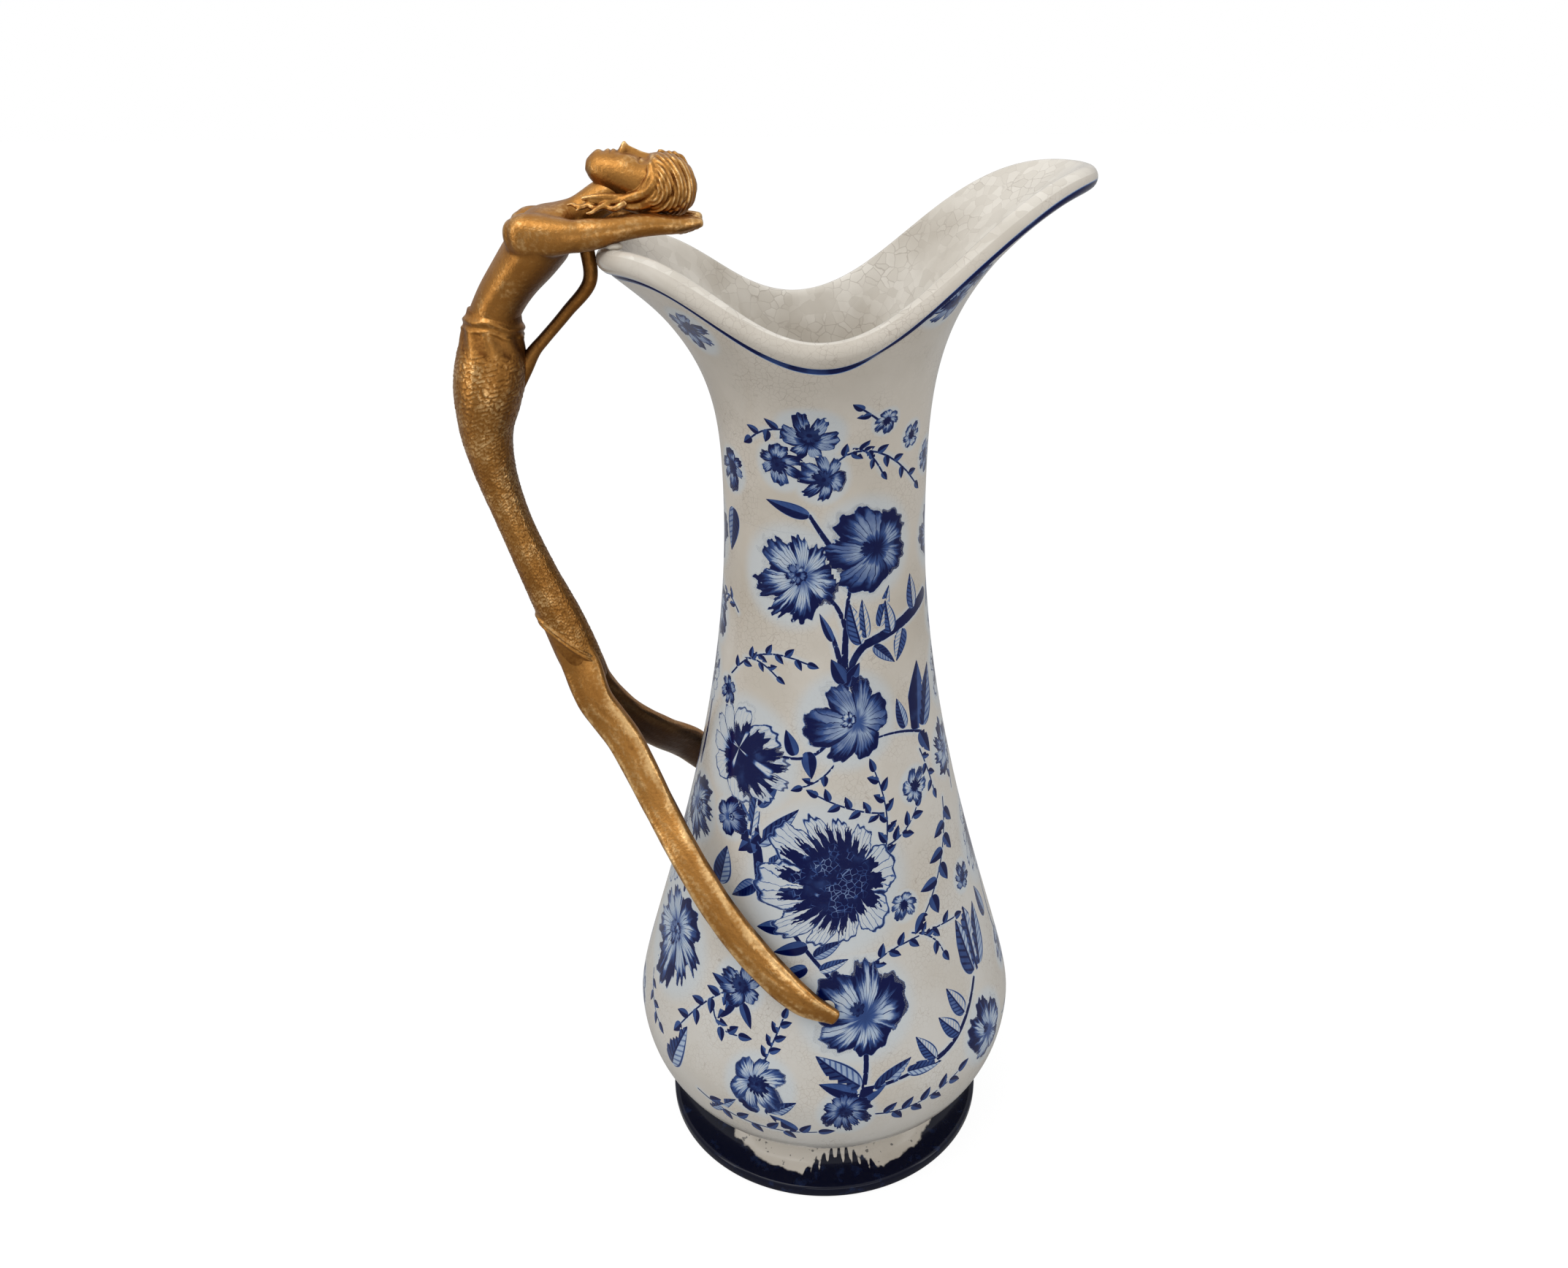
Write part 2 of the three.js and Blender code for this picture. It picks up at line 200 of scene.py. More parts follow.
# Crackle: thin lines where two cells of a Voronoi pattern meet, wavering with a little noise and fading
# in and out; a cloud for stains, and one tone to each cell.
def crackleGroup(plan):
    tree, pen, source, sink = newGroup("crackle", ["Place", "Cells", "Width"], ["Lines", "Cloud", "Patch"])
    place, count = source["Place"], source["Cells"]
    waver = pen.noise(place, plan["waverScale"], output="Color")
    drift = pen.wire("VectorMath", {0: waver, 1: [plan["waver"]] * 3, 2: place}, operation="MULTIPLY_ADD")
    seam = pen.cells(drift, count, "Distance", "DISTANCE_TO_EDGE")
    fade = pen.ease(pen.noise(place, plan["fadeScale"]), 0.35, 0.65)
    pen.join(pen.ease(seam, source["Width"], 0.0) * fade, sink["Lines"])
    pen.join(pen.noise(place, plan["cloudScale"], 4), sink["Cloud"])
    pen.join(pen.parts(pen.cells(drift, count, "Color"))[0], sink["Patch"])
    return tree


petalPlan = {  # lengths are shares of the bloom's radius
    "heartShift": 0.24,
    "uneven": 0.035,  # how far petals differ in breadth, in turns
    "ragged": (0.02, 2.2),  # noise in the breadth and in the ruffle
    "sizes": (0.9, 1.04),  # of the shortest and the longest petal
    "ruffles": 4,  # to a petal
    "fineLines": 7,
    "outlineInk": 0.85,
    "cleftInk": 0.8,
}


# One ring of petals on polar coordinates round a heart that lies off the middle. The edge lies at
# size - cleft * a^3 + ruffle * wave, where a is 0 on a petal's middle and 1 between two petals. Ink gathers
# in a streaky band along the edge, on one side of each petal, in lines between petals and round the heart.
def petalGroup(plan):
    inputs = ["X", "Y", "Seed", "Petals", "Cleft", "Ruffle", "Rim", "Heart", "Hatch", "Wash", "Lines"]
    tree, pen, source, sink = newGroup("petals", inputs, ["Inside", "Ink"])
    outX, outY, seed = source["X"], source["Y"], source["Seed"]
    fullTurn = 2 * np.pi
    pull = pen.highest(1.0 - (outX * outX + outY * outY), 0.0) * plan["heartShift"]
    lean = seed * 40
    x = outX + pull * pen.maths("COSINE", lean)
    y = outY + pull * pen.maths("SINE", lean)
    reach = pen.length(x, y)
    turn = pen.maths("ARCTAN2", y, x) / fullTurn + seed
    uneven = pen.maths("SINE", turn * (fullTurn * 2) + lean) * plan["uneven"]
    ragged = pen.noise(pen.vector(outX, outY, seed * 9), 6, 3) - 0.5
    cell = (turn + uneven + ragged * plan["ragged"][0]) * source["Petals"]
    along = pen.maths("FRACT", cell)
    side = pen.maths("ABSOLUTE", along - 0.5) * 2
    shade = pen.wire("TexWhiteNoise", {"W": pen.maths("FLOOR", cell) + seed * 31}, noise_dimensions="1D")
    wave = pen.maths("COSINE", cell * (fullTurn * plan["ruffles"]))
    ruffle = source["Ruffle"] * (wave * 0.45 + ragged * plan["ragged"][1])
    dip = source["Cleft"] * pen.maths("POWER", side, 3)
    edge = pen.ease(shade, 0.0, 1.0, *plan["sizes"]) - dip + ruffle
    depth = reach / pen.highest(edge, 0.05)
    inside = pen.ease(depth, 1.015, 0.975)
    outline = pen.ease(depth, 0.93, 0.985)
    streak = (pen.noise(pen.vector(cell * 9, reach * 1.5, seed), 1.0, 1) - 0.5) * source["Hatch"]
    reached = depth + streak * 1.1 + (along - 0.5) * 0.3 + (shade - 0.5) * 0.3
    band = pen.ease(reached, 0.42, 1.02) * source["Rim"]
    heart = pen.ease(reach + streak * 0.6, 0.62, 0.08) * source["Heart"]
    cleft = pen.ease(side, 0.86, 0.98) * pen.ease(depth, 0.25, 0.5) * plan["cleftInk"]
    wash = source["Wash"] * pen.ease(depth + streak, 0.1, 0.8, 0.55, 1.0)
    lines = pen.maths("ABSOLUTE", pen.maths("SINE", cell * (np.pi * plan["fineLines"])))
    lines = pen.ease(lines, 0.3, 0.08) * pen.ease(depth, 0.25, 0.4) * source["Lines"]
    thick = pen.maths("MINIMUM", band + heart, 1.0)
    ink = pen.highest(outline * plan["outlineInk"], cleft, thick, wash, lines)
    pen.join(inside, sink["Inside"])
    pen.join(inside * ink, sink["Ink"])
    return tree


# A leaf of length 1: half width sqrt(x) * (1 - x) * 2.6, dark on one half, with a rib, an outline and side
# veins. Fill 1 is a dark leaf and 0 a pale one.
def leafGroup():
    tree, pen, source, sink = newGroup("leaf", ["Along", "Across", "Fill"], ["Inside", "Ink"])
    run, fill = source["Along"], source["Fill"]
    along = pen.maths("MINIMUM", pen.highest(run, 0.0), 1.0)
    width = pen.maths("SQRT", along) * (1.0 - along) * 2.6
    across = pen.maths("ABSOLUTE", source["Across"])
    depth = across / pen.highest(width, 0.02)
    inside = pen.ease(depth, 1.1, 0.9) * (pen.ease(run, 0.0, 0.03) * pen.ease(run, 1.0, 0.97))
    half = pen.ease(source["Across"], -0.15, 0.15)
    vein = pen.maths("SINE", run * 50 - across * 9)
    light = half * 0.45 + pen.ease(vein, 0.0, 0.9) * 0.3
    dark = half * 0.35 + 0.6
    tone = dark * fill + light * (1.0 - fill)
    line = pen.highest(pen.ease(depth, 0.72, 0.95), pen.ease(across, 0.16, 0.05))
    pen.join(inside, sink["Inside"])
    pen.join(inside * pen.highest(tone, line * 0.85), sink["Ink"])
    return tree


crackle = crackleGroup(cracklePlan)
petals = petalGroup(petalPlan)
leaf = leafGroup()
print("shared node groups made")

glazePlan = {
    "cream": (0.572, 0.527, 0.463, 1),
    "coolWhite": (0.49, 0.537, 0.57, 1),  # where the blue has bled into the glaze
    "coolHeights": (0.28, 0.08),  # metres, from where the cool white sets in down to its full share
    "coolShare": 0.3,
    # painted light: the inside wall gets a paler cream than the outside, and a paler one still deep down, to
    # brighten the mouth where little light reaches
    "insideCreamPaintedLight": (0.74, 0.70, 0.63, 1),
    "insideDeepPaintedLight": (0.88, 0.85, 0.79, 1),
    "deepPaintedLightHeights": (0.345, 0.3),
    "stain": (0.47, 0.425, 0.36, 1),
    "crackleLine": (0.30, 0.25, 0.21, 1),
    "inkPale": (0.33, 0.41, 0.53, 1),
    "inkMiddle": (0.033, 0.072, 0.22, 1),
    "inkDark": (0.001, 0.004, 0.05, 1),
    "cells": (540, 270),  # crackle cells to the metre, outside and inside
    "patches": (0.12, 0.4),  # how far single cells are stained, outside and inside
    "lineShares": (0.58, 0.5),  # how dark the crackle is, outside and inside
    "crackleWidth": 0.05,
    "core": {"Cleft": 0.34, "Ruffle": 0.12, "Rim": 1.0, "Heart": 1.0, "Hatch": 0.5},
    "bloomBleed": (1.34, 0.95, 0.0, 0.7),  # radii from the middle, and how much blue is there
    "stemBleed": (2.0, 0.2, 0.0, 0.5),  # millimetres from the edge
    "lineHalf": 1.0,  # half width of the blue line under the lip, millimetres
    "roughness": (0.10, 0.21),
    "shine": 0.17,
    "ripple": (0.25, 0.0004),  # bump strength and distance
}


def inkColours(pen, plan, ink, ground):
    # ground colour to pale, middle and dark blue as the ink thickens
    pale = pen.blend(pen.ease(ink, 0.02, 0.25), ground, plan["inkPale"])
    middle = pen.blend(pen.ease(ink, 0.2, 0.5), pale, plan["inkMiddle"])
    return pen.blend(pen.ease(ink, 0.45, 0.85), middle, plan["inkDark"])


def porcelainMaterial(plan):
    material, pen, shader = newMaterial("crackledPorcelain", **{"Specular IOR Level": plan["shine"]})
    place = pen.place()
    height = pen.parts(place)[2]
    rimRun, inside, _ = pen.attribute("wallPlace")

    def wallSides(without, within):
        return pen.ease(inside, 0.3, 0.7, without, within)

    cracks = pen.group(crackle, Place=place, Cells=wallSides(*plan["cells"]), Width=plan["crackleWidth"])
    low = pen.ease(height + cracks["Cloud"] * 0.06 - 0.03, *plan["coolHeights"])
    outsideCream = pen.blend(low * plan["coolShare"], plan["cream"], plan["coolWhite"])
    # painted light inside the wall, palest low down in the mouth
    insideCreamPaintedLight = pen.blend(pen.ease(height, *plan["deepPaintedLightHeights"]), plan["insideCreamPaintedLight"], plan["insideDeepPaintedLight"])
    ground = pen.blend(wallSides(0.0, 1.0), outsideCream, insideCreamPaintedLight)
    stained = pen.ease(cracks["Cloud"], 0.35, 0.75) * pen.ease(low, 0.2, 1.0, 1.0, 0.7)
    ground = pen.blend(stained, ground, plan["stain"])
    ground = pen.blend(cracks["Patch"] * wallSides(*plan["patches"]), ground, plan["stain"])
    ground = pen.blend(cracks["Lines"] * wallSides(*plan["lineShares"]), ground, plan["crackleLine"])

    # blooms: a ring of petals, and a smaller ring in the core with slits and pale specks
    x, y, seed = pen.attribute("bloomAt")
    count, cleft, ruffle = pen.attribute("bloomPlan")
    rim, heart, hatch = pen.attribute("bloomTone")
    coreSize, coreCount, speckle = pen.attribute("bloomCore")
    coreShift, slits, coreFill = pen.attribute("bloomHeart")
    wash, lines, _ = pen.attribute("bloomWash")
    shape = {"X": x, "Y": y, "Seed": seed, "Petals": count, "Cleft": cleft, "Ruffle": ruffle}
    outer = pen.group(petals, **shape, Rim=rim, Heart=heart, Hatch=hatch, Wash=wash, Lines=lines)
    coreX, coreY = (x - coreShift) / coreSize, y / coreSize
    inner = pen.group(petals, X=coreX, Y=coreY, Seed=seed, Petals=coreCount, **plan["core"])
    coreReach = pen.length(coreX, coreY)
    slit = pen.maths("SINE", pen.maths("ARCTAN2", coreY, coreX + 0.45) * 2.1)
    slit = pen.ease(pen.maths("ABSOLUTE", slit), 0.3, 0.1)
    slit = slit * pen.ease(coreReach, 0.75, 0.6) * pen.ease(coreReach, 0.05, 0.25) * slits
    spot = pen.vector(x, y, seed)
    specks = pen.ease(pen.cells(spot, 13, "Distance", "DISTANCE_TO_EDGE"), 0.07, 0.02)
    specks = specks * speckle * pen.ease(coreReach, 0.8, 0.6)
    specks = specks * pen.ease(pen.noise(spot, 5), 0.45, 0.6) * 0.55
    dense = pen.highest(inner["Ink"], inner["Inside"] * coreFill * 0.85)
    coreInk = dense * (1.0 - pen.highest(specks, slit * 0.9))
    bloomInk = pen.between(inner["Inside"], outer["Ink"], coreInk)
    bloomInk = pen.highest(bloomInk, outer["Inside"] * 0.05)

    # leaves lie over stems, and blooms over both
    along, across, fill = pen.attribute("leafAt")
    blade = pen.group(leaf, Along=along, Across=across, Fill=fill)
    past, off, half = pen.attribute("stemAt")
    fromStem = pen.length(past, off) - half
    stemInk = pen.ease(fromStem, 0.22, -0.12, 0.0, 0.9)
    leafInk = pen.highest(blade["Ink"], stemInk * (1.0 - blade["Inside"]))
    ink = pen.highest(bloomInk, leafInk * (1.0 - outer["Inside"]))
    ink = ink * pen.ease(pen.noise(place, 180), 0.2, 0.6, 0.8, 1.0)
    lineHalf = plan["lineHalf"]
    line = pen.ease(pen.maths("ABSOLUTE", rimRun), lineHalf + 0.4, lineHalf - 0.3, 0.0, 0.85)
    ink = pen.highest(ink, line * pen.ease(pen.noise(place, 90), 0.3, 0.55, 0.75, 1.0))
    # the blue bleeds a little way out of the blooms and stems
    bleed = pen.ease(pen.length(x, y), *plan["bloomBleed"])
    bleed = pen.highest(bleed, pen.ease(fromStem, *plan["stemBleed"]))
    ground = pen.blend(bleed, ground, plan["coolWhite"])

    pen.join(inkColours(pen, plan, ink, ground), shader["Base Color"])
    pen.join(pen.ease(cracks["Cloud"], 0.3, 0.8, *plan["roughness"]), shader["Roughness"])
    wavy = pen.noise(place, 70) - cracks["Lines"] * 0.12
    pen.join(pen.bump(wavy, *plan["ripple"]), shader["Normal"])
    return material


def runAlong(points):
    # distance from the first point, or from the first row of points, along the rest
    steps = np.linalg.norm(np.diff(points, axis=0), axis=-1)
    return np.concatenate([np.zeros_like(steps[:1]), np.cumsum(steps, axis=0)])


def unit(vectors):
    return vectors / np.linalg.norm(vectors, axis=-1, keepdims=True)


def easeStep(value, low, high):
    # smooth step from 0 at low to 1 at high
    s = np.clip((value - low) / (high - low), 0, 1)
    return s * s * (3 - 2 * s)


def hump(value, at, spread):
    # bell of height 1 at a place
    return np.exp(-(((value - at) / spread) ** 2))


def quadratic(p0, p1, p2, s):
    return (1 - s) ** 2 * p0 + 2 * (1 - s) * s * p1 + s**2 * p2


def bezier(p0, p1, p2, p3, s):
    return (1 - s) ** 3 * p0 + 3 * (1 - s) ** 2 * s * p1 + 3 * (1 - s) * s**2 * p2 + s**3 * p3


def evenly(curve, count):
    # the curve again, as count points at even distances along it
    run = runAlong(curve)
    share = np.linspace(0, run[-1], count)
    return np.stack([np.interp(share, run, curve[:, k]) for k in range(curve.shape[1])], -1)


def fullCircle(count):
    return np.linspace(0, 2 * np.pi, count, endpoint=False)


def columnAngles(count):
    # begins and ends on the near side
    return np.linspace(-np.pi, np.pi, count, endpoint=False) + np.pi / 2


def lathe(profile, t):
    # rings of a profile of radius and height, turned about the upright
    radius, height, angle = np.broadcast_arrays(profile[:, :1], profile[:, 1:], t)
    return np.stack([radius * np.cos(angle), radius * np.sin(angle), height], -1)


def gridFaces(rows, columns, start=0):
    # quads over a closed grid and a fan over each end, for points that begin at start
    column = np.arange(columns)
    following = (column + 1) % columns
    row = start + np.arange(rows - 1)[:, None] * columns
    quads = np.stack([row + column, row + following, row + columns + following, row + columns + column], -1)
    first, top = start + rows * columns, start + (rows - 1) * columns
    low = np.stack([np.full(columns, first), start + following, start + column], -1)
    high = np.stack([np.full(columns, first + 1), top + column, top + following], -1)
    return quads.reshape(-1, 4).tolist() + low.tolist() + high.tolist()


def ringPoints(rings):
    # the points of all rings, then the middles of the first and the last
    return np.vstack([rings.reshape(-1, 3), rings[0].mean(0), rings[-1].mean(0)])


def addPiece(name, mesh):
    mesh.shade_smooth()
    piece = bpy.data.objects.new(name, mesh)
    scene.collection.objects.link(piece)
    return piece


def wrapPiece(name, rings):
    # closed surface over rings[row, column, xyz] in millimetres: quads between rings and a fan over each end
    rows, columns = rings.shape[:2]
    mesh = bpy.data.meshes.new(name)
    mesh.from_pydata(ringPoints(rings) * mm, [], gridFaces(rows, columns))

    # the bake's map: u round the piece, v along it by the mean distance between rings
    run = np.cumsum(np.linalg.norm(np.diff(rings, axis=0), axis=2).mean(1))
    v = 0.01 + 0.98 * np.r_[0, run] / run[-1]
    u = np.arange(columns + 1) / columns
    left, right, low, high = u[:-1], u[1:], v[:-1, None], v[1:, None]
    corners = (left, low, right, low, right, high, left, high)
    quadMap = np.stack([np.broadcast_to(value, (rows - 1, columns)) for value in corners], -1).ravel()
    middle = (left + right) / 2
    zero, one = np.zeros(columns), np.ones(columns)
    lowMap = np.stack([middle, zero, right, zero + v[0], left, zero + v[0]], -1).ravel()
    highMap = np.stack([middle, one, left, zero + v[-1], right, zero + v[-1]], -1).ravel()
    bakeMap = np.r_[quadMap, lowMap, highMap].astype(np.float32)
    mesh.uv_layers.new(name="OFBake").uv.foreach_set("vector", bakeMap)
    return addPiece(name, mesh)


def storeVectors(piece, name, domain, values):
    layer = piece.data.attributes.new(name, "FLOAT_VECTOR", domain)
    layer.data.foreach_set("vector", np.asarray(values, np.float32).ravel())


def storeOnRings(piece, name, place):
    # one vector to each point of the rings, and the end rings' own for the fans' middles
    storeVectors(piece, name, "POINT", np.vstack([place.reshape(-1, 3), place[0, :1], place[-1, :1]]))


def dress(piece, material, slot, *nodes):
    piece.data.materials.append(material)
    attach(piece, "root")
    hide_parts(*nodes)
    print(piece.name + ":", len(piece.data.polygons), "faces")


vesselPlan = {  # millimetres and degrees
    "seat": 17.8,
    "seatRadius": 50.0,
    "bellyRadius": 74.3,
    "bellyHeight": 56.4,
    "bellyRise": 18.0,
    "bellyFall": 18.0,
    "neckRadius": 34.4,
    "neckHeight": 262.0,
    "neckDrop": 92.0,
    "wall": 4.6,
    "floor": 6.0,
    "spoutReach": 81.1,
    "backReach": 67.3,
    "sideReach": 46.3,
    "spoutHeight": 365.2,
    "backHeight": 342.4,
    "sideHeight": 320.9,
    "spoutTaper": 2.1,
    "sideFlat": 0.06,
    "rimSkew": 3.6,
    "rimWave": 5.1,
    "lip": 7.2,
    "bead": 3.6,  # how far below the rim line the crease under the lip runs
    "beadRound": 0.45,  # share of that at which the lip has its full thickness
    "beadThin": 0.35,
    "lineLift": 4.2,  # how far the painted line climbs onto the lip at the spout
    "swellRun": 26.0,  # how far below the rim line the wall begins to thicken
    "groove": 0.35,
    "spoutSlope": 30.0,
    "sideSlope": 66.0,
    "backSlope": 38.0,
    "columns": 288,
    "lowRows": 34,
    "highRows": 136,
    "flareRows": 92,
    "lipBand": 12.0,
    "lipBandRows": 34,
    "lipRows": 12,
    "innerFlareRows": 26,
    "innerRows": 36,
    "seatRun": 0.66,  # how far the curve leaves the seat, in shares of the step out to the belly
    "flareLead": 0.38,  # pull of the flare's curve at the neck and at the lip, in shares of its span
    "flareTrail": 0.49,
    "underShare": 0.6,  # how much of the lip's thickness the wall has reached under the crease
    "grooveWidth": 0.6,
    "lineTurn": (-0.05, 0.55),  # cosines between which the painted line climbs
    "lineBroad": 0.6,  # how much broader it is at the spout and the back
    # inside the floor: distance in from the wall and height over the floor
    "floorCorner": [(1.2, 1.0), (4.0, 0.0)],
    "floorRound": 3.0,
}


def bodyProfile(plan, lowRows, highRows):
    # outer radius and height: one curve from the seat out to the belly, one from the belly up to the neck
    run = (plan["bellyRadius"] - plan["seatRadius"]) * plan["seatRun"]
    seat = np.array([plan["seatRadius"], plan["seat"]])
    belly = np.array([plan["bellyRadius"], plan["bellyHeight"]])
    neck = np.array([plan["neckRadius"], plan["neckHeight"]])
    s = np.linspace(0, 1, 400)[:, None]
    low = bezier(seat, seat + (run, run / 4), belly - (0, plan["bellyFall"]), belly, s)
    high = bezier(belly, belly + (0, plan["bellyRise"]), neck - (0, plan["neckDrop"]), neck, s)
    return np.vstack([evenly(low, lowRows)[:-1], evenly(high, highRows)])


def rimLine(plan, t):
    # middle of the lip at column angle t: sums of cosines that meet the reaches and heights at spout,
    # sides and back
    half = (plan["spoutReach"] + plan["backReach"]) / 2
    offset = (plan["spoutReach"] - plan["backReach"]) / 2
    ends = (plan["spoutHeight"] + plan["backHeight"]) / 2
    lean = (plan["spoutHeight"] - plan["backHeight"]) / 2
    lift = (ends - plan["sideHeight"]) / 2
    skew, taper, wave = plan["rimSkew"], plan["spoutTaper"], plan["rimWave"]
    x = offset - skew + (half - taper) * np.cos(t) + skew * np.cos(2 * t) + taper * np.cos(3 * t)
    z = ends - lift + wave + lean * np.cos(t) + lift * np.cos(2 * t) - wave * np.cos(4 * t)
    y = plan["sideReach"] * (np.sin(t) + plan["sideFlat"] * np.sin(3 * t))
    return np.stack([x, y, z], -1)


def flareSurface(plan, t, s):
    # middle of the flaring wall: at each column a cubic curve from the neck's circle to the lip; then its
    # direction and normals
    radius = plan["neckRadius"] - plan["wall"] / 2
    neck = lathe(np.array([[radius, plan["neckHeight"]]]), t)[0]
    rim = rimLine(plan, t)
    endSlope = np.where(np.cos(t) > 0, plan["spoutSlope"], plan["backSlope"])
    slope = np.radians(plan["sideSlope"] + (endSlope - plan["sideSlope"]) * np.cos(t) ** 2)
    outward = unit((rim - neck) * (1, 1, 0))
    leave = outward * np.cos(slope)[:, None] + np.outer(np.sin(slope), upright)
    span = np.linalg.norm(rim - neck, axis=1)[:, None]
    lead, trail = plan["flareLead"] * span * upright, plan["flareTrail"] * span * leave
    at = bezier(neck, neck + lead, rim - trail, rim, s[..., None])
    along = unit(np.gradient(at, axis=0))
    around = np.roll(at, -1, axis=1) - np.roll(at, 1, axis=1)
    return at, along, unit(np.cross(around, along))


def lipTurn(plan):
    # angles of the rows over the lip's round
    return np.linspace(0, np.pi, plan["lipRows"] + 2)[1:-1]


def vesselRings(plan):
    # rows in order: outer body, outer flare, round of the lip, inner flare, inner body down to the floor
    t = columnAngles(plan["columns"])
    profile = bodyProfile(plan, plan["lowRows"], plan["highRows"])

    # the last rows of the flare lie at fixed distances from the rim, and the others share out the rest
    s = np.linspace(0, 1, 200)[:, None] + np.zeros(len(t))
    run = runAlong(flareSurface(plan, t, s)[0])
    share = np.linspace(0, 1, plan["flareRows"] - plan["lipBandRows"], endpoint=False)[:, None]
    band = np.linspace(plan["lipBand"], 0, plan["lipBandRows"])[:, None]
    wanted = np.vstack([share * (run[-1] - plan["lipBand"]), run[-1] - band])
    s = np.stack([np.interp(wanted[:, k], run[:, k], s[:, k]) for k in range(len(t))], -1)
    at, along, normal = flareSurface(plan, t, s)
    toRim = run[-1] - wanted
    thin, full = plan["wall"] / 2, plan["lip"] / 2
    # the lip's roll is narrower towards back and spout
    crease = plan["bead"] * (1 - plan["beadThin"] * np.cos(t) ** 2)
    swell = easeStep(toRim, plan["swellRun"], plan["bead"])
    under = thin + plan["underShare"] * (full - thin) * swell
    groove = plan["groove"] * hump(toRim, crease, plan["grooveWidth"])
    outerHalf = under + (full - under) * easeStep(toRim / crease, 1.0, plan["beadRound"]) - groove
    innerHalf = thin + (full - thin) * easeStep(toRim, plan["swellRun"], 0.0)
    outer = at + normal * outerHalf[..., None]
    turn = lipTurn(plan)[:, None, None]
    lip = at[-1] + full * (np.cos(turn) * normal[-1] + np.sin(turn) * along[-1])
    some = np.linspace(len(s) - 1, 1, plan["innerFlareRows"]).round().astype(int)
    inner = (at - normal * innerHalf[..., None])[some]

    lean = np.gradient(profile[:, 0], profile[:, 1])
    inward = profile[:, 0] - plan["wall"] * np.hypot(1, lean)
    floor = plan["seat"] + plan["floor"]
    heights = np.linspace(plan["neckHeight"] - 2, floor + plan["floorRound"], plan["innerRows"])
    bowl = np.c_[np.interp(heights, profile[:, 1], inward), heights]
    edge = bowl[-1, 0]
    corner = [(edge - off, floor + up) for off, up in plan["floorCorner"]]
    inside = np.vstack([bowl, corner, (edge / 2, floor)])
    return t, crease - toRim, np.concatenate([lathe(profile, t), outer[1:], lip, inner, lathe(inside, t)])


printKinds = {
    # petals, cleft, ruffle; ink at the rim, at the heart and in streaks; the core's size, petals and pale
    # specks; the core's shift, its slits and the ink inside it; a wash over the petals, fine lines along them
    "hibiscus": ((5, 0.22, 0.07), (1.0, 0.6, 0.8), (0.16, 7, 0.0), (0.0, 0.0, 0.9), (0.2, 0.8, 0)),
    "dusk": ((5, 0.2, 0.08), (1.0, 0.9, 0.6), (0.16, 7, 0.0), (0.0, 0.0, 1.0), (0.44, 0.9, 0)),
    "carnation": ((7, 0.26, 0.12), (1.0, 0.5, 0.7), (0.26, 7, 0.0), (0.1, 0.5, 0.5), (0.18, 0.9, 0)),
    "peony": ((10, 0.25, 0.05), (0.1, 0.9, 0.8), (0.76, 22, 1.0), (0.05, 0.0, 1.0), (0.04, 0.5, 0)),
    "fan": ((10, 0.25, 0.04), (0.1, 0.9, 0.6), (0.74, 13, 0.1), (0.16, 1.0, 1.0), (0.02, 0.3, 0)),
    "dahlia": ((6, 0.28, 0.05), (0.95, 0.5, 0.6), (0.2, 5, 0.0), (0.0, 0.0, 0.1), (0.45, 0.9, 0)),
    "star": ((6, 0.4, 0.07), (0.9, 1.0, 0.7), (0.4, 9, 0.0), (0.1, 0.0, 0.9), (0.36, 0.7, 0)),
    "blossom": ((6, 0.32, 0.05), (0.75, 0.5, 0.8), (0.4, 12, 0.3), (0.0, 0.0, 1.0), (0.12, 0.7, 0)),
    "rosette": ((10, 0.22, 0.07), (1.0, 0.9, 0.6), (0.26, 10, 0.8), (0.0, 0.0, 0.9), (0.45, 0.6, 0)),
}
# Places are (turn in degrees from the near side towards the spout, climb in millimetres up the wall from
# the seat).
printBlooms = [  # kind, turn, climb, radius, spin in degrees
    ("star", -12, 292, 8.5, 80), ("star", -28, 281, 7.5, 190), ("star", -8, 278, 8, 280),
    ("blossom", 23, 295, 4.2, 0), ("blossom", 45, 288, 4.6, 30), ("dusk", 17, 253, 15.5, 25),
    ("carnation", -24, 244, 15.5, 40), ("dahlia", 5, 194, 15.5, 250), ("fan", -46, 177, 18.5, 340),
    ("blossom", 38, 164, 6.5, 15), ("star", -64, 196, 5.5, 70), ("peony", -6, 136, 25.5, 12),
    ("hibiscus", 4, 88, 18.5, 200), ("hibiscus", 51, 56, 13, 60), ("star", -35, 92, 9, 120),
    ("carnation", -70, 92, 20, 70), ("blossom", -25, 56, 12, 22), ("rosette", 0, 47, 9.5, 0),
    ("dahlia", -49, 152, 7.5, 300), ("star", 58, 118, 6, 20), ("blossom", 24, 122, 5.5, 60),
    ("star", -46, 118, 5.5, 10), ("star", -53, 326, 8, 40), ("star", 28, 335, 7, 100),
    ("star", 34, 343, 6, 60), ("star", -66, 275, 7, 40), ("carnation", -74, 146, 12, 10),
    ("hibiscus", 82, 250, 13, 10), ("fan", 84, 196, 14, 100), ("peony", 86, 122, 19, 40),
    ("blossom", 78, 70, 9, 0), ("carnation", 67, 168, 10, 130), ("star", 66, 278, 6, 200),
    ("hibiscus", -92, 220, 12, 150), ("blossom", -88, 50, 10, 0),
]
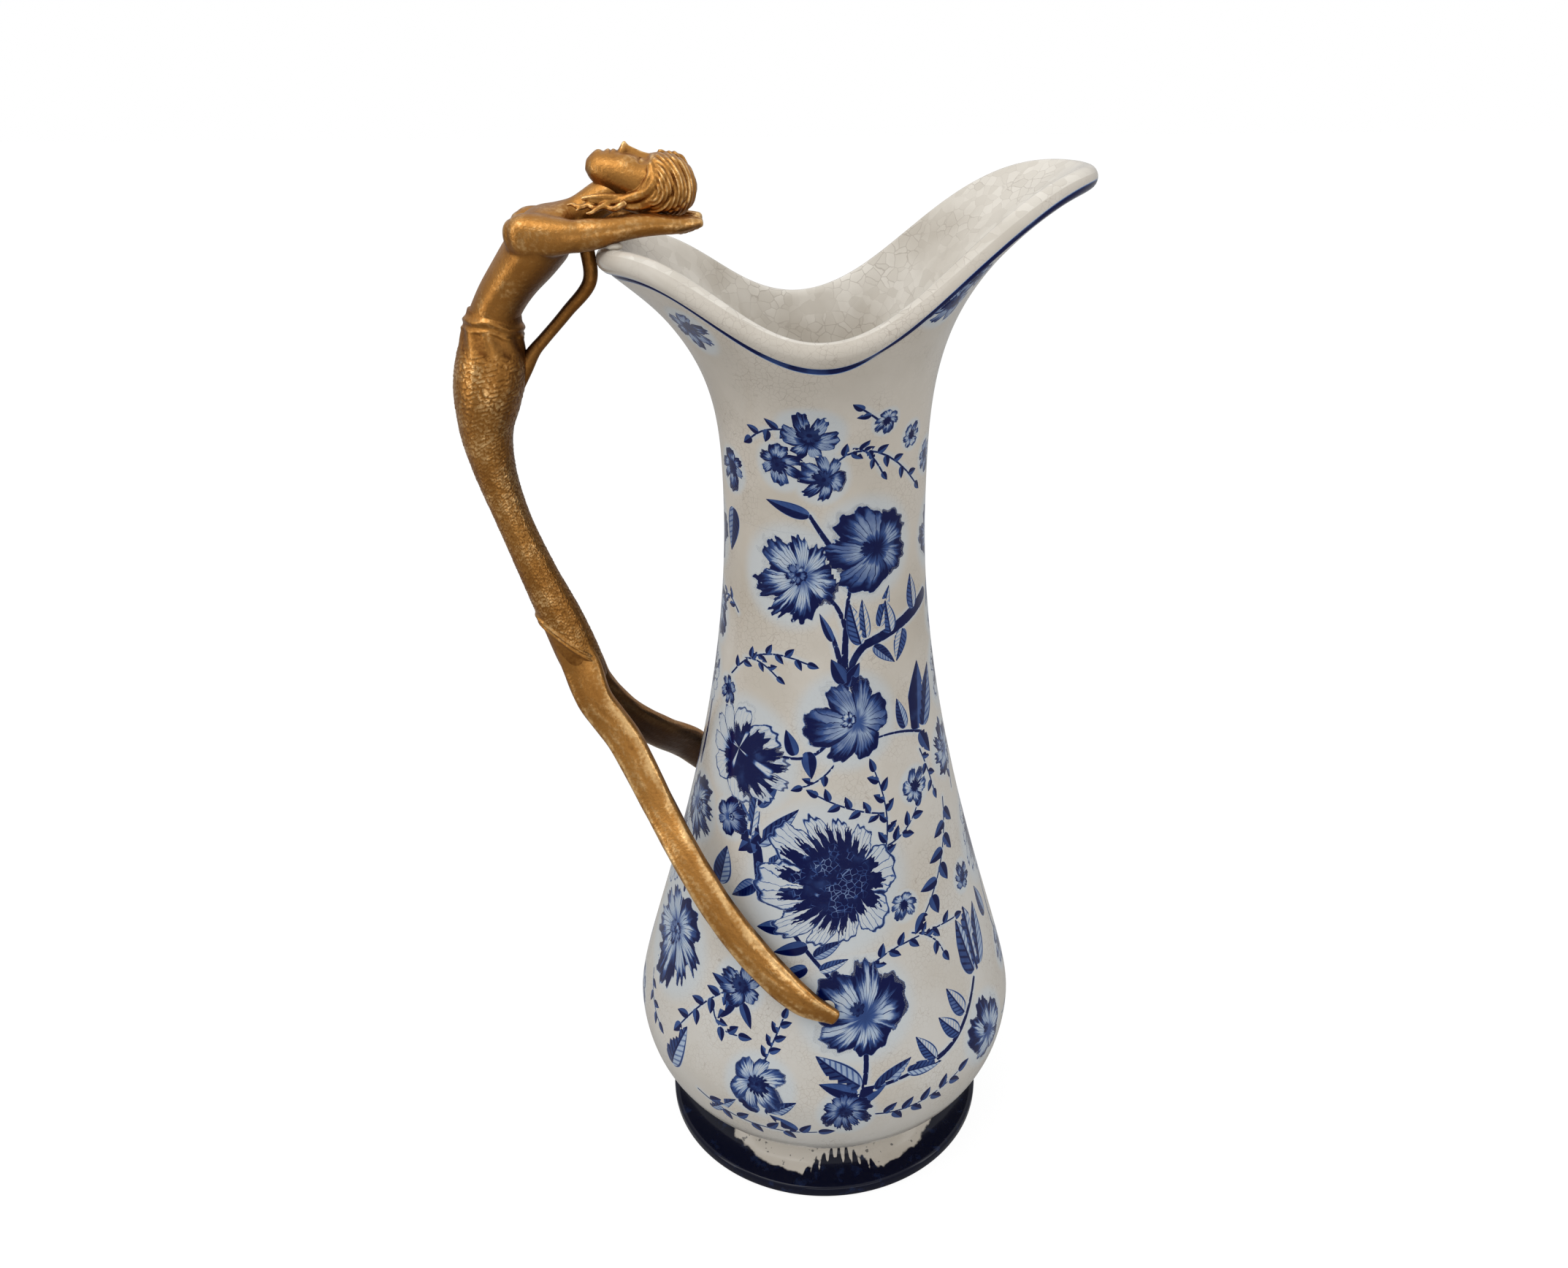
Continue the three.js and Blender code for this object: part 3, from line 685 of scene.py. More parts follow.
printLeaves = [  # base, tip, width as a share of the length, fill
    ((-14, 265), (-39, 269), 0.3, 0.9), ((13, 220), (7, 235), 0.42, 0.1), ((24, 225), (31, 239), 0.32, 0.1),
    ((20, 219), (33, 211), 0.36, 0.6), ((16, 222), (14, 236), 0.3, 0.05), ((44, 183), (50, 208), 0.44, 0.9),
    ((49, 183), (62, 204), 0.4, 0.6), ((-36, 142), (-46, 161), 0.36, 0.9),
    ((-34, 146), (-17, 162), 0.28, 0.5), ((-38, 148), (-37, 168), 0.26, 0.2),
    ((-50, 126), (-49, 141), 0.6, 0.55), ((53, 80), (53, 108), 0.62, 0.28), ((42, 70), (36, 84), 0.44, 0.1),
    ((38, 64), (31, 75), 0.46, 0.15), ((4, 58), (-9, 71), 0.42, 0.5), ((3, 55), (-8, 60), 0.4, 0.9),
    ((8, 56), (20, 65), 0.34, 0.6), ((18, 60), (30, 58), 0.36, 0.4), ((28, 60), (22, 72), 0.4, 0.2),
    ((-36, 89), (-46, 92), 0.4, 1.0), ((-36, 86), (-41, 76), 0.4, 1.0), ((-33, 86), (-29, 77), 0.4, 1.0),
    ((-2, 222), (-9, 232), 0.26, 0.8), ((-12, 104), (-22, 98), 0.4, 0.8), ((-8, 103), (2, 107), 0.36, 0.2),
    ((-42, 35), (-32, 47), 0.3, 0.5), ((-14, 37), (-22, 44), 0.4, 0.9), ((-58, 44), (-52, 66), 0.42, 0.4),
    ((-66, 262), (-70, 246), 0.5, 0.6), ((78, 232), (70, 222), 0.4, 0.6), ((88, 150), (80, 166), 0.4, 0.8),
    ((70, 92), (66, 108), 0.4, 0.5), ((-86, 190), (-78, 204), 0.4, 0.7), ((-34, 150), (-43, 141), 0.5, 1.0),
    ((-31, 140), (-23, 129), 0.42, 0.9), ((-36, 160), (-27, 170), 0.42, 0.95),
    ((-33, 132), (-43, 124), 0.46, 0.7), ((4, 207), (-3, 216), 0.5, 1.0), ((5, 206), (12, 214), 0.5, 1.0),
    ((40, 222), (34, 211), 0.52, 0.15), ((31, 222), (28, 234), 0.52, 0.15),
    ((50, 227), (48, 240), 0.46, 0.15), ((-20, 181), (-25, 190), 0.5, 1.0),
    ((-14, 183), (-12, 173), 0.5, 1.0), ((-20, 118), (-31, 116), 0.5, 0.9),
    ((46, 182), (52, 172), 0.5, 1.0), ((2, 52), (12, 58), 0.42, 1.0), ((-2, 100), (8, 96), 0.4, 0.9),
    ((-12, 112), (-24, 108), 0.4, 1.0), ((-10, 108), (0, 114), 0.4, 0.6),
    ((-31, 136), (-22, 146), 0.36, 0.3), ((-40, 152), (-52, 163), 0.36, 0.2),
    ((51, 81), (47, 106), 0.42, 0.35), ((55, 81), (61, 105), 0.42, 0.45), ((-25, 44), (-34, 52), 0.4, 0.8),
    ((-23, 44), (-14, 52), 0.4, 0.5), ((36, 186), (32, 198), 0.4, 0.5),
]
printStems = [  # start, bend, end, half widths at start and end in millimetres
    ((-14, 265), (-8, 259), (0, 252), 0.6, 1.0), ((-14, 238), (0, 240), (5, 226), 0.4, 0.8),
    ((9, 243), (5, 236), (5, 221), 0.5, 0.8), ((5, 226), (4, 217), (4, 205), 0.9, 1.3),
    ((64, 229), (34, 223), (16, 220), 2.3, 1.4), ((16, 220), (8, 217), (4, 206), 1.3, 1.0),
    ((-3, 225), (1, 219), (4, 207), 0.7, 1.0), ((-4, 187), (-11, 179), (-25, 180), 0.6, 0.4),
    ((20, 186), (32, 187), (46, 182), 0.3, 0.5), ((-40, 163), (-36, 152), (-30, 128), 1.2, 2.0),
    ((-18, 117), (-9, 106), (3, 91), 0.7, 0.6), ((6, 70), (6, 60), (3, 50), 0.9, 0.8),
    ((5, 57), (14, 57), (29, 61), 0.7, 0.5), ((29, 60), (40, 62), (50, 79), 1.0, 0.7),
    ((84, 238), (80, 220), (84, 206), 0.8, 1.0), ((84, 184), (90, 160), (86, 138), 0.8, 0.9),
    ((80, 105), (74, 90), (78, 78), 0.6, 0.7), ((-66, 120), (-72, 132), (-70, 112), 0.6, 0.8),
    ((-90, 210), (-80, 190), (-84, 160), 0.7, 0.9),
]
printSprigs = [  # start, bend, end, leaves, leaf length in millimetres
    ((-14, 293), (-28, 296), (-44, 289), 5, 5.0), ((0, 283), (16, 293), (52, 271), 10, 4.4),
    ((8, 287), (16, 287), (25, 278), 3, 3.6), ((-62, 203), (-42, 221), (-15, 214), 9, 4.4),
    ((-52, 211), (-42, 214), (-31, 208), 4, 3.8), ((15, 136), (26, 155), (17, 174), 10, 5.6),
    ((21, 158), (8, 160), (-9, 167), 7, 5.0), ((20, 146), (30, 148), (37, 156), 5, 5.6),
    ((56, 152), (52, 135), (33, 116), 8, 8.0), ((6, 99), (14, 113), (47, 107), 10, 5.4),
    ((26, 111), (36, 107), (38, 98), 3, 5.2), ((-36, 90), (-46, 84), (-55, 65), 7, 6.2),
    ((-43, 79), (-41, 71), (-33, 73), 4, 5.6), ((-24, 66), (-22, 73), (-19, 84), 7, 5.0),
    ((8, 45), (20, 41), (36, 49), 9, 6.4), ((-46, 42), (-28, 33), (-8, 37), 8, 6.4),
    ((18, 296), (14, 298), (10, 300), 2, 4.0), ((-2, 178), (-8, 172), (-16, 170), 3, 4.4),
    ((44, 176), (48, 168), (50, 158), 5, 4.4), ((68, 150), (74, 164), (68, 176), 6, 5.0),
    ((64, 50), (74, 44), (88, 50), 6, 5.0), ((-60, 226), (-70, 232), (-78, 228), 5, 4.4),
    ((-78, 70), (-74, 60), (-66, 56), 5, 5.0),
]
printPlan = {
    "farSpin": 11,  # degrees by which blooms on the far side are turned
    "flareClimb": 310,  # blooms higher than this are on the flare
    "seedStep": 0.37,
    "stemPoints": 9,
    "sprigWidths": (0.28, 0.22),  # half widths of a sprig's stem, millimetres
    "sprigAngle": 48,  # degrees between a sprig's stem and its leaves
    "sprigLeaf": (0.55, 1.0),  # width as a share of the length, fill
    "away": 9.0,  # a place outside any bloom or leaf
}


class PrintPlane:
    # where the print lies: column angle and climb of any point, and flat millimetres round a chosen place
    def __init__(self, plan):
        profile = bodyProfile(plan, 100, 400)
        self.run, self.radius = runAlong(profile), profile[:, 0]

    def spot(self, turn, climb):
        # column angle, climb and the vessel's radius there
        return np.array([np.radians(turn - 90), climb, np.interp(climb, self.run, self.radius)])

    def flat(self, home, place):
        return (self.spot(*place)[:2] - home[:2]) * (home[2], 1)

    def route(self, line, count):
        # the spot where a line of start, bend and end begins, and points of its curve in flat millimetres
        home = self.spot(*line[0])
        s = np.linspace(0, 1, count)[:, None]
        return home, quadratic(*(self.flat(home, place) for place in line), s)


def sprigLeaves(plane, line, count, length):
    # leaves stand off a curved stem in turn to either side, with one more at its end
    home, points = plane.route(line, count + 1)
    heading = np.gradient(points, axis=0)
    sides = np.where(np.arange(count + 1) % 2, 1, -1) * np.radians(printPlan["sprigAngle"])
    sides[-1] = 0
    angle = np.arctan2(heading[:, 1], heading[:, 0]) + sides
    tips = points + length * np.stack([np.cos(angle), np.sin(angle)], -1)
    return home, points[1:], tips[1:]


def printTables(plane):
    # every bloom, leaf and stem piece as rows of numbers, for the near side and again for the far side
    plan = printPlan
    blooms, leaves, stems = [], [], []

    def pieceRow(home, start, end, *others):
        # a piece between two points that lie in flat millimetres round home
        return [home[0] + start[0] / home[2], home[1] + start[1], home[2], *(end - start), *others]

    def turned(line, half):
        return [(turn + half, climb) for turn, climb in line]

    for half, spinMore in ((0, 0), (180, plan["farSpin"])):
        for kind, turn, climb, radius, spin in printBlooms:
            seed = (len(blooms) * plan["seedStep"]) % 1
            # blooms on the flare are mirrored, because the lip isn't level
            around = half - turn if half and climb > plan["flareClimb"] else turn + half
            spot = plane.spot(around, climb)
            blooms.append([*spot, radius, np.radians(spin + spinMore), seed, *np.ravel(printKinds[kind])])
        for (turn, climb), (tipTurn, tipClimb), *look in printLeaves:
            home = plane.spot(turn + half, climb)
            leaves.append([*home, *plane.flat(home, (tipTurn + half, tipClimb)), *look])
        sprigStems = [(*line, *plan["sprigWidths"]) for *line, _, _ in printSprigs]
        for *line, wide, narrow in printStems + sprigStems:
            home, points = plane.route(turned(line, half), plan["stemPoints"])
            widths = np.linspace(wide, narrow, plan["stemPoints"])
            stems += [pieceRow(home, a, b, w) for a, b, w in zip(points[:-1], points[1:], widths)]
        for *line, count, length in printSprigs:
            home, bases, tips = sprigLeaves(plane, turned(line, half), count, length)
            leaves += [pieceRow(home, a, b, *plan["sprigLeaf"]) for a, b in zip(bases, tips)]
    return np.array(blooms), np.array(leaves), np.array(stems)


def turnBetween(t, start):
    # signed angle from start to t, the shorter way round
    return (t - start + np.pi) % (2 * np.pi) - np.pi


def nearestRow(table, t, climb, measure):
    # for each face, the row whose measure is smallest; measure(row, x, y) works on flat millimetres
    best = np.full(t.shape, np.inf)
    pick = np.zeros(t.shape, int)
    for k, row in enumerate(table):
        distance = measure(row, turnBetween(t, row[0]) * row[2], climb - row[1])
        closer = distance < best
        best[closer] = distance[closer]
        pick[closer] = k
    return table[pick]


def toSegment(row, x, y):
    # distance from a point to the segment that leaves the row's place by (row[3], row[4])
    share = np.clip((x * row[3] + y * row[4]) / (row[3] ** 2 + row[4] ** 2), 0, 1)
    return np.hypot(x - share * row[3], y - share * row[4])


def printOn(piece, t, climbs, plan):
    # writes the print's coordinates on the faces of the outer wall; every other face gets places far outside
    blooms, leaves, stems = printTables(PrintPlane(plan))
    step = 2 * np.pi / len(t)
    cornerT = t[None, :, None] + np.array([0, step, step, 0]) + np.zeros((len(climbs) - 1, 1, 1))
    beyond = np.roll(climbs, -1, axis=1)
    cornerC = np.stack([climbs[:-1], beyond[:-1], beyond[1:], climbs[1:]], -1)
    faceT, faceC = cornerT.mean(2), cornerC.mean(2)
    counts = {"CORNER": len(piece.data.loops), "FACE": len(piece.data.polygons)}
    away = (printPlan["away"], printPlan["away"], 0)

    def local(row):
        # corner places in flat millimetres round each face's own row
        x = turnBetween(faceT, row[..., 0])[..., None] + cornerT - faceT[..., None]
        return x * row[..., 2, None], cornerC - row[..., 1, None]

    def lengthwise(row):
        # each row's length, and corner places along and across it
        x, y = local(row)
        length = np.hypot(row[..., 3], row[..., 4])[..., None]
        alongX, alongY = row[..., 3, None] / length, row[..., 4, None] / length
        return length, x * alongX + y * alongY, y * alongX - x * alongY

    def store(name, domain, values, others):
        full = np.tile(np.array(others, np.float32), (counts[domain], 1))
        values = values.reshape(-1, 3)
        full[: len(values)] = values
        storeVectors(piece, name, domain, full)

    def storeAt(name, x, y, value):
        store(name, "CORNER", np.stack([x, y, value[..., None] + 0 * x], -1), away)

    row = nearestRow(blooms, faceT, faceC, lambda row, x, y: np.hypot(x, y) / row[3])
    x, y = local(row)
    size, spin = row[..., 3, None], row[..., 4, None]
    cos, sin = np.cos(spin), np.sin(spin)
    storeAt("bloomAt", (x * cos + y * sin) / size, (y * cos - x * sin) / size, row[..., 5])
    for k, name in enumerate(("bloomPlan", "bloomTone", "bloomCore", "bloomHeart", "bloomWash")):
        store(name, "FACE", row[..., 6 + 3 * k : 9 + 3 * k], (5, 0.3, 0.3))

    row = nearestRow(leaves, faceT, faceC, toSegment)
    length, along, across = lengthwise(row)
    storeAt("leafAt", along / length, across / (length * row[..., 5, None] / 2), row[..., 6])

    row = nearestRow(stems, faceT, faceC, lambda row, x, y: toSegment(row, x, y) - row[5])
    length, along, across = lengthwise(row)
    storeAt("stemAt", along - np.clip(along, 0, length), across, row[..., 5])


def makeVessel(plan):
    t, toCrease, rings = vesselRings(plan)
    piece = wrapPiece("porcelain_vessel", rings)
    bodyRows = plan["lowRows"] + plan["highRows"] - 1
    outerRows = bodyRows + plan["flareRows"] - 1
    printOn(piece, t, runAlong(rings[:outerRows]), plan)

    # millimetres above the groove under the lip, and 1 on the inside of the wall
    place = np.zeros(rings.shape)
    place[..., 0] = 99  # nowhere near the line
    lift = plan["lineLift"] * easeStep(np.cos(t), *plan["lineTurn"])
    broad = 1 + plan["lineBroad"] * np.cos(t) ** 2
    overLip = toCrease[-1] + lipTurn(plan)[:, None] * plan["lip"] / 2
    lipEnd = outerRows + plan["lipRows"]
    place[bodyRows - 1 : lipEnd, :, 0] = (np.vstack([toCrease, overLip]) - lift) / broad
    place[outerRows + plan["lipRows"] // 2 :, :, 1] = 1
    storeOnRings(piece, "wallPlace", place)
    dress(piece, porcelainMaterial(glazePlan), "porcelain", "vessel")


makeVessel(vesselPlan)

footPlan = {  # millimetres and degrees
    "edge": 5.0,
    "topRadius": 50.0,
    "round": 1.4,
    "columns": 288,
    "rows": 40,
    "reserveHalf": 49,  # half the width of each pale reserve
    "reserveLow": 0.14,  # its lowest place and its sag, in shares of the slope
    "reserveSag": 0.3,
    "flowerHalf": 17,  # of the half flower in each reserve
    "flowerHigh": 0.66,
    "flowerFall": 0.5,
    "fringe": 1.9,
    "cobalt": (0.001, 0.002, 0.012, 1),
    "biscuit": (0.55, 0.50, 0.42, 1),
    "shine": 0.22,
    "crackleWidth": 0.035,
    "ripple": (0.25, 0.0004),  # bump strength and distance
}


def cobaltMaterial(plan):
    material, pen, shader = newMaterial("cobaltGlaze", **{"Specular IOR Level": plan["shine"]})
    place = pen.place()
    turn, climb, _ = pen.attribute("footPlace")
    cells = glazePlan["cells"][0]
    cracks = pen.group(crackle, Place=place, Cells=cells, Width=plan["crackleWidth"])
    waver = pen.noise(place, 160, 3) - 0.5
    out = turn + waver * 9
    # pale reserves: open between the ends, down to a hanging curve
    half = plan["reserveHalf"]
    floor = pen.maths("POWER", out / half, 2) * plan["reserveSag"] + plan["reserveLow"] + waver * 0.2
    window = pen.ease(out, half + 1, half - 1) * pen.ease(climb, floor, floor + 0.05)
    # a fringed half flower stands in the middle of each reserve
    fringe = pen.maths("COSINE", turn * plan["fringe"]) * pen.ease(out, 19, 9, 0.0, 0.13)
    fringe = fringe * pen.ease(pen.noise(place, 260), 0.35, 0.65, 0.2, 1.5)
    crown = plan["flowerHigh"] - pen.maths("POWER", out / plan["flowerHalf"], 2) * plan["flowerFall"]
    crown = crown + fringe + waver * 0.3
    flower = pen.ease(climb, crown, crown - 0.06)
    specks = pen.ease(pen.noise(place, 420), 0.63, 0.7, 0.0, 0.7)
    pale = window * (1.0 - flower) * (1.0 - specks)
    ground = pen.blend(pen.ease(cracks["Cloud"], 0.35, 0.75), glazePlan["cream"], glazePlan["stain"])
    ground = pen.blend(cracks["Lines"] * 0.3, ground, glazePlan["crackleLine"])
    # the reserves' ground is dulled a fifth towards the stain colour, darker than the body's cream
    ground = pen.blend(0.2, ground, glazePlan["stain"])
    depth = pen.ease(pen.noise(place, 240, 3), 0.55, 0.75)
    cobalt = pen.blend(depth * 0.16, plan["cobalt"], glazePlan["inkMiddle"])
    bare = pen.ease(pen.parts(place)[2], 0.0006, 0.0003)  # unglazed underside
    colour = pen.blend(bare, pen.blend(pale, cobalt, ground), plan["biscuit"])
    pen.join(colour, shader["Base Color"])
    pen.join(pen.ease(bare, 0.0, 1.0, 0.1, 0.8), shader["Roughness"])
    pen.join(pen.bump(pen.noise(place, 90), *plan["ripple"]), shader["Normal"])
    return material


def makeFoot(plan):
    # lathe: flat underside, rounded upright edge, then a hollow slope up to the seat
    _, high = (np.array(corner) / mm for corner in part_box("foot"))
    radius, height = high[0], high[2]
    bend, edge, top = plan["round"], plan["edge"], plan["topRadius"]
    turn = np.linspace(0, np.pi / 2, 6)[:, None]
    under = np.array([radius - bend, bend]) + bend * np.hstack([np.sin(turn), -np.cos(turn)])
    over = np.array([radius - bend, edge - bend]) + bend * np.hstack([np.cos(turn), np.sin(turn)])
    s = np.linspace(0, 1, 60)[:, None]
    slope = quadratic(over[-1], np.array([top, edge]), np.array([top, height]), s)
    hollow = evenly(slope, plan["rows"])[1:]
    first = [(radius * 0.5, 0.0), (radius * 0.94, 0.0)]
    profile = np.vstack([first, under, over, hollow, (top * 0.5, height)])
    t = columnAngles(plan["columns"])
    rings = lathe(profile, t)
    piece = wrapPiece("cobalt_foot", rings)
    # degrees from the nearer reserve's middle, and share of the climb from the edge to the seat
    place = np.zeros(rings.shape)
    place[..., 0] = np.abs((np.degrees(t) + 180) % 180 - 90)
    run = runAlong(hollow)
    place[-len(hollow) - 1 : -1, :, 1] = (run / run[-1])[:, None]
    place[-1, :, 1] = 1
    storeOnRings(piece, "footPlace", place)
    dress(piece, cobaltMaterial(plan), "cobalt_glaze", "foot")


makeFoot(footPlan)

bronzePlan = {
    "bright": (0.84, 0.54, 0.24, 1),
    "middle": (0.41, 0.19, 0.047, 1),
    "dark": (0.13, 0.047, 0.011, 1),
    "brown": (0.22, 0.085, 0.016, 1),
    "shadeAndPatina": (0.062, 0.027, 0.011, 1),
    "roughness": (0.5, 0.28),  # in the hollows and on the high places
    "ripple": (0.45, 0.0003),  # bump strength and distance
}


def bronzeMaterial(plan):
    material, pen, shader = newMaterial("agedBronze", Metallic=1.0)
    place = pen.place()
    relief, cover, _ = pen.attribute("bronzeTone")
    cloud = pen.noise(place, 130, 4) - 0.5
    grain = pen.noise(place, 800, 4) - 0.5
    level = relief + cloud * 1.1 + grain
    colour = pen.blend(pen.ease(level, -0.75, 0.05), plan["dark"], plan["middle"])
    colour = pen.blend(pen.ease(level, 0.08, 0.85), colour, plan["bright"])
    # brown lacquer lies in clouds, and the same brown is painted shade on faces that look down; both are
    # rubbed off the high places
    up = pen.parts(pen.wire("NewGeometry", output="Normal"))[2]
    lacquerAndShade = pen.ease(pen.noise(place, 45, 3), 0.42, 0.66, 0.0, 0.5) + pen.ease(up, 0.35, -0.35, 0.0, 0.55)
    lacquerAndShade = lacquerAndShade * pen.ease(level, 0.7, 0.0, 0.1, 0.8)
    colour = pen.blend(lacquerAndShade, colour, plan["brown"])
    # painted shade: the cover share darkens faces turned from the light or towards the vessel, with a little
    # patina in the hollows and in clouds
    shadeAndPatinaShare = pen.ease(cover + cloud * 0.5 + relief * -0.15, 0.05, 1.0, 0.0, 0.92)
    pen.join(pen.blend(shadeAndPatinaShare, colour, plan["shadeAndPatina"]), shader["Base Color"])
    pen.join(pen.ease(level, -0.6, 0.7, *plan["roughness"]), shader["Roughness"])
    pen.join(pen.bump(pen.noise(place, 1100, 3), *plan["ripple"]), shader["Normal"])
    return material


bronze = bronzeMaterial(bronzePlan)


def smoothPath(stations, count):
    # cubic through every row of the stations, knotted at the square roots of the distances between places
    stations = np.array(stations, float)
    steps = np.linalg.norm(np.diff(stations[:, :3], axis=0), axis=1)
    knots = np.r_[0, np.cumsum(np.sqrt(steps))]
    slope = np.gradient(stations, knots, axis=0)
    at = np.linspace(0, knots[-1], count)
    low = np.clip(np.searchsorted(knots, at, side="right") - 1, 0, len(knots) - 2)
    gap = (knots[low + 1] - knots[low])[:, None]
    s = (at - knots[low])[:, None] / gap
    start, end = stations[low], stations[low + 1]
    return bezier(start, start + gap * slope[low] / 3, end - gap * slope[low + 1] / 3, end, s)


def loft(stations, count, sides):
    # ellipses along a path of stations x y z depth width: depth in the path's upright plane, width across it
    line = smoothPath(stations, count)
    at, depth, width = line[:, :3], line[:, 3, None, None], line[:, 4, None, None]
    along = unit(np.gradient(at, axis=0))
    sideways = np.array([0, 1, 0])
    across = unit(sideways - along * (along @ sideways)[:, None])
    inPlane = np.cross(across, along)
    angle = fullCircle(sides)[None, :, None]
    ellipse = depth / 2 * np.cos(angle) * inPlane[:, None] + width / 2 * np.sin(angle) * across[:, None]
    return at[:, None] + ellipse


def squared(rings, power, share=1.0):
    # swells each ellipse by (|cos|^n + |sin|^n)^(-1/n), which squares it up; share fades this along the rings
    angle = fullCircle(rings.shape[1])[None]
    swell = (np.abs(np.cos(angle)) ** power + np.abs(np.sin(angle)) ** power) ** (-1 / power)
    centre = rings.mean(1, keepdims=True)
    return centre + (rings - centre) * (1 + (swell - 1) * share)[..., None]


def roundEnd(rings, share, count=6):
    # a dome past the last ring: smaller copies of it, moved on along the path
    middle, before = rings[-1].mean(0), rings[-2].mean(0)
    reach = share * np.linalg.norm(rings[-1] - middle, axis=1).mean()
    angle = np.linspace(0, np.pi / 2, count + 1)[1:-1, None, None]
    dome = middle + (rings[-1] - middle) * np.cos(angle) + unit(middle - before) * reach * np.sin(angle)
    return np.concatenate([rings, dome])


def bothEnds(rings, share):
    return roundEnd(roundEnd(rings, share)[::-1], share)[::-1]


def egg(at, axes, columns=32, rows=20):
    # ellipsoid whose half axes are the rows of axes
    t = fullCircle(columns)[None, :, None]
    p = np.linspace(0.02, np.pi - 0.02, rows)[:, None, None]
    return at + np.sin(p) * (np.cos(t) * axes[0] + np.sin(t) * axes[1]) - np.cos(p) * axes[2]


def castPiece(name, shapes, voxel, rounds):
    # one skin over many overlapping closed grids, then evened out by a few rounds of smoothing
    points, faces, start = [], [], 0
    for rings in shapes:
        points.append(ringPoints(rings))
        faces += gridFaces(*rings.shape[:2], start)
        start += len(points[-1])
    mesh = bpy.data.meshes.new(name + "Rough")
    mesh.from_pydata(np.vstack(points) * mm, [], faces)
    rough = bpy.data.objects.new(name + "Rough", mesh)
    scene.collection.objects.link(rough)
    remesh = rough.modifiers.new("skin", "REMESH")
    remesh.mode = "VOXEL"
    remesh.voxel_size = voxel * mm
    smooth = rough.modifiers.new("even", "SMOOTH")
    smooth.factor, smooth.iterations = 0.5, rounds
    graph = bpy.context.evaluated_depsgraph_get()
    cast = bpy.data.meshes.new_from_object(rough.evaluated_get(graph))
    bpy.data.objects.remove(rough)
    cast.name = name
    return addPiece(name, cast)


def readVectors(data, key):
    values = np.empty(len(data) * 3, np.float32)
    data.foreach_get(key, values)
    return values.reshape(-1, 3).astype(float)


def readPoints(mesh):
    return readVectors(mesh.vertices, "co") / mm


def readNormals(mesh):
    return readVectors(mesh.vertex_normals, "vector")


def writePoints(mesh, points):
    mesh.vertices.foreach_set("co", (points * mm).astype(np.float32).ravel())
    mesh.update()


def reliefOf(mesh, rounds, depth):
    # how far each point stands out of a smoothed copy of the surface, in shares of a depth in millimetres
    ends = np.empty(len(mesh.edges) * 2, np.int32)
    mesh.edges.foreach_get("vertices", ends)
    first, second = ends.reshape(-1, 2).T
    points = readPoints(mesh)
    size = len(points)
    count = np.bincount(ends, minlength=size)[:, None]
    soft = points
    for _ in range(rounds):
        total = [np.bincount(first, part[second], size) + np.bincount(second, part[first], size)
                 for part in soft.T]
        soft = (soft + np.stack(total, -1) / count) / 2
    return np.clip(np.sum((points - soft) * readNormals(mesh), axis=1) / depth, -1.5, 1.5)


def tone(piece, relief, cover):
    # relief lightens raised places and darkens hollows; cover is painted shade
    storeVectors(piece, "bronzeTone", "POINT", np.stack([relief, cover, np.zeros_like(relief)], -1))


rest = rimLine(vesselPlan, np.array([np.pi]))[0]  # the lip's back, where the figure rests
figurePlan = {  # millimetres; shares are of the named sizes
    "reach": 36.3,  # from the rim's back out to the waist
    "shoulders": 29.0,
    "chest": 20.0,
    "bust": 15.0,
    "neck": 10.4,
    "armLength": 48.0,
    "arm": 7.6,
    "armSpread": 12.5,
    "bedding": 1.5,
    # torso: out and up in shares of the reach, depth in shares of the chest, width in shares of the shoulders
    "torso": [
        (1.05, -0.56, 0.75, 0.58),
        (0.926, -0.325, 0.75, 0.655),
        (0.807, -0.16, 0.78, 0.76),
        (0.634, 0.041, 0.875, 0.914),
        (0.482, 0.207, 0.875, 1.0),
        (0.331, 0.298, 0.65, 0.76),
    ],
    "nape": [(0.21, 0.364, 1.0), (-0.04, 0.51, 1.0), (-0.2, 0.56, 0.9)],  # out, up, share of the neck
    # bust, drawn up towards the raised arms: out and up, spread in shares of the shoulders, depth and width
    # in shares of its own
    "breast": [
        (0.73, 0.215, 0.29, 0.7, 0.56),
        (0.67, 0.22, 0.32, 0.85, 0.72),
        (0.55, 0.222, 0.34, 0.86, 0.76),
        (0.42, 0.22, 0.38, 0.78, 0.72),
        (0.29, 0.225, 0.42, 0.66, 0.62),
        (0.12, 0.238, 0.43, 0.46, 0.48),
    ],
    # arm: along and up in shares of its length, spread, depth and width in shares of its thickness
    "arms": [
        (-0.5, -0.1, 0.5, 0.7, 0.7),
        (-0.38, -0.055, 0.8, 1.05, 0.9),
        (-0.24, -0.035, 0.98, 1.25, 1.02),
        (-0.12, -0.02, 1.02, 1.2, 1.03),
        (0.0, 0.0, 1.0, 1.0, 0.97),
        (0.135, 0.019, 0.9, 0.92, 0.92),
        (0.27, 0.025, 0.8, 0.84, 0.88),
        (0.406, 0.019, 0.66, 0.7, 1.05),
        (0.53, 0.027, 0.46, 0.42, 0.7),
    ],
    "fingerGaps": (-1.6, 0, 1.6),
    "fingerGroove": (0.4, 0.35),  # depth and width
}


def onFigure(out, up, side=0):
    return rest + np.array([-out, 0, up]) * figurePlan["reach"] + np.array([0, side, 0])


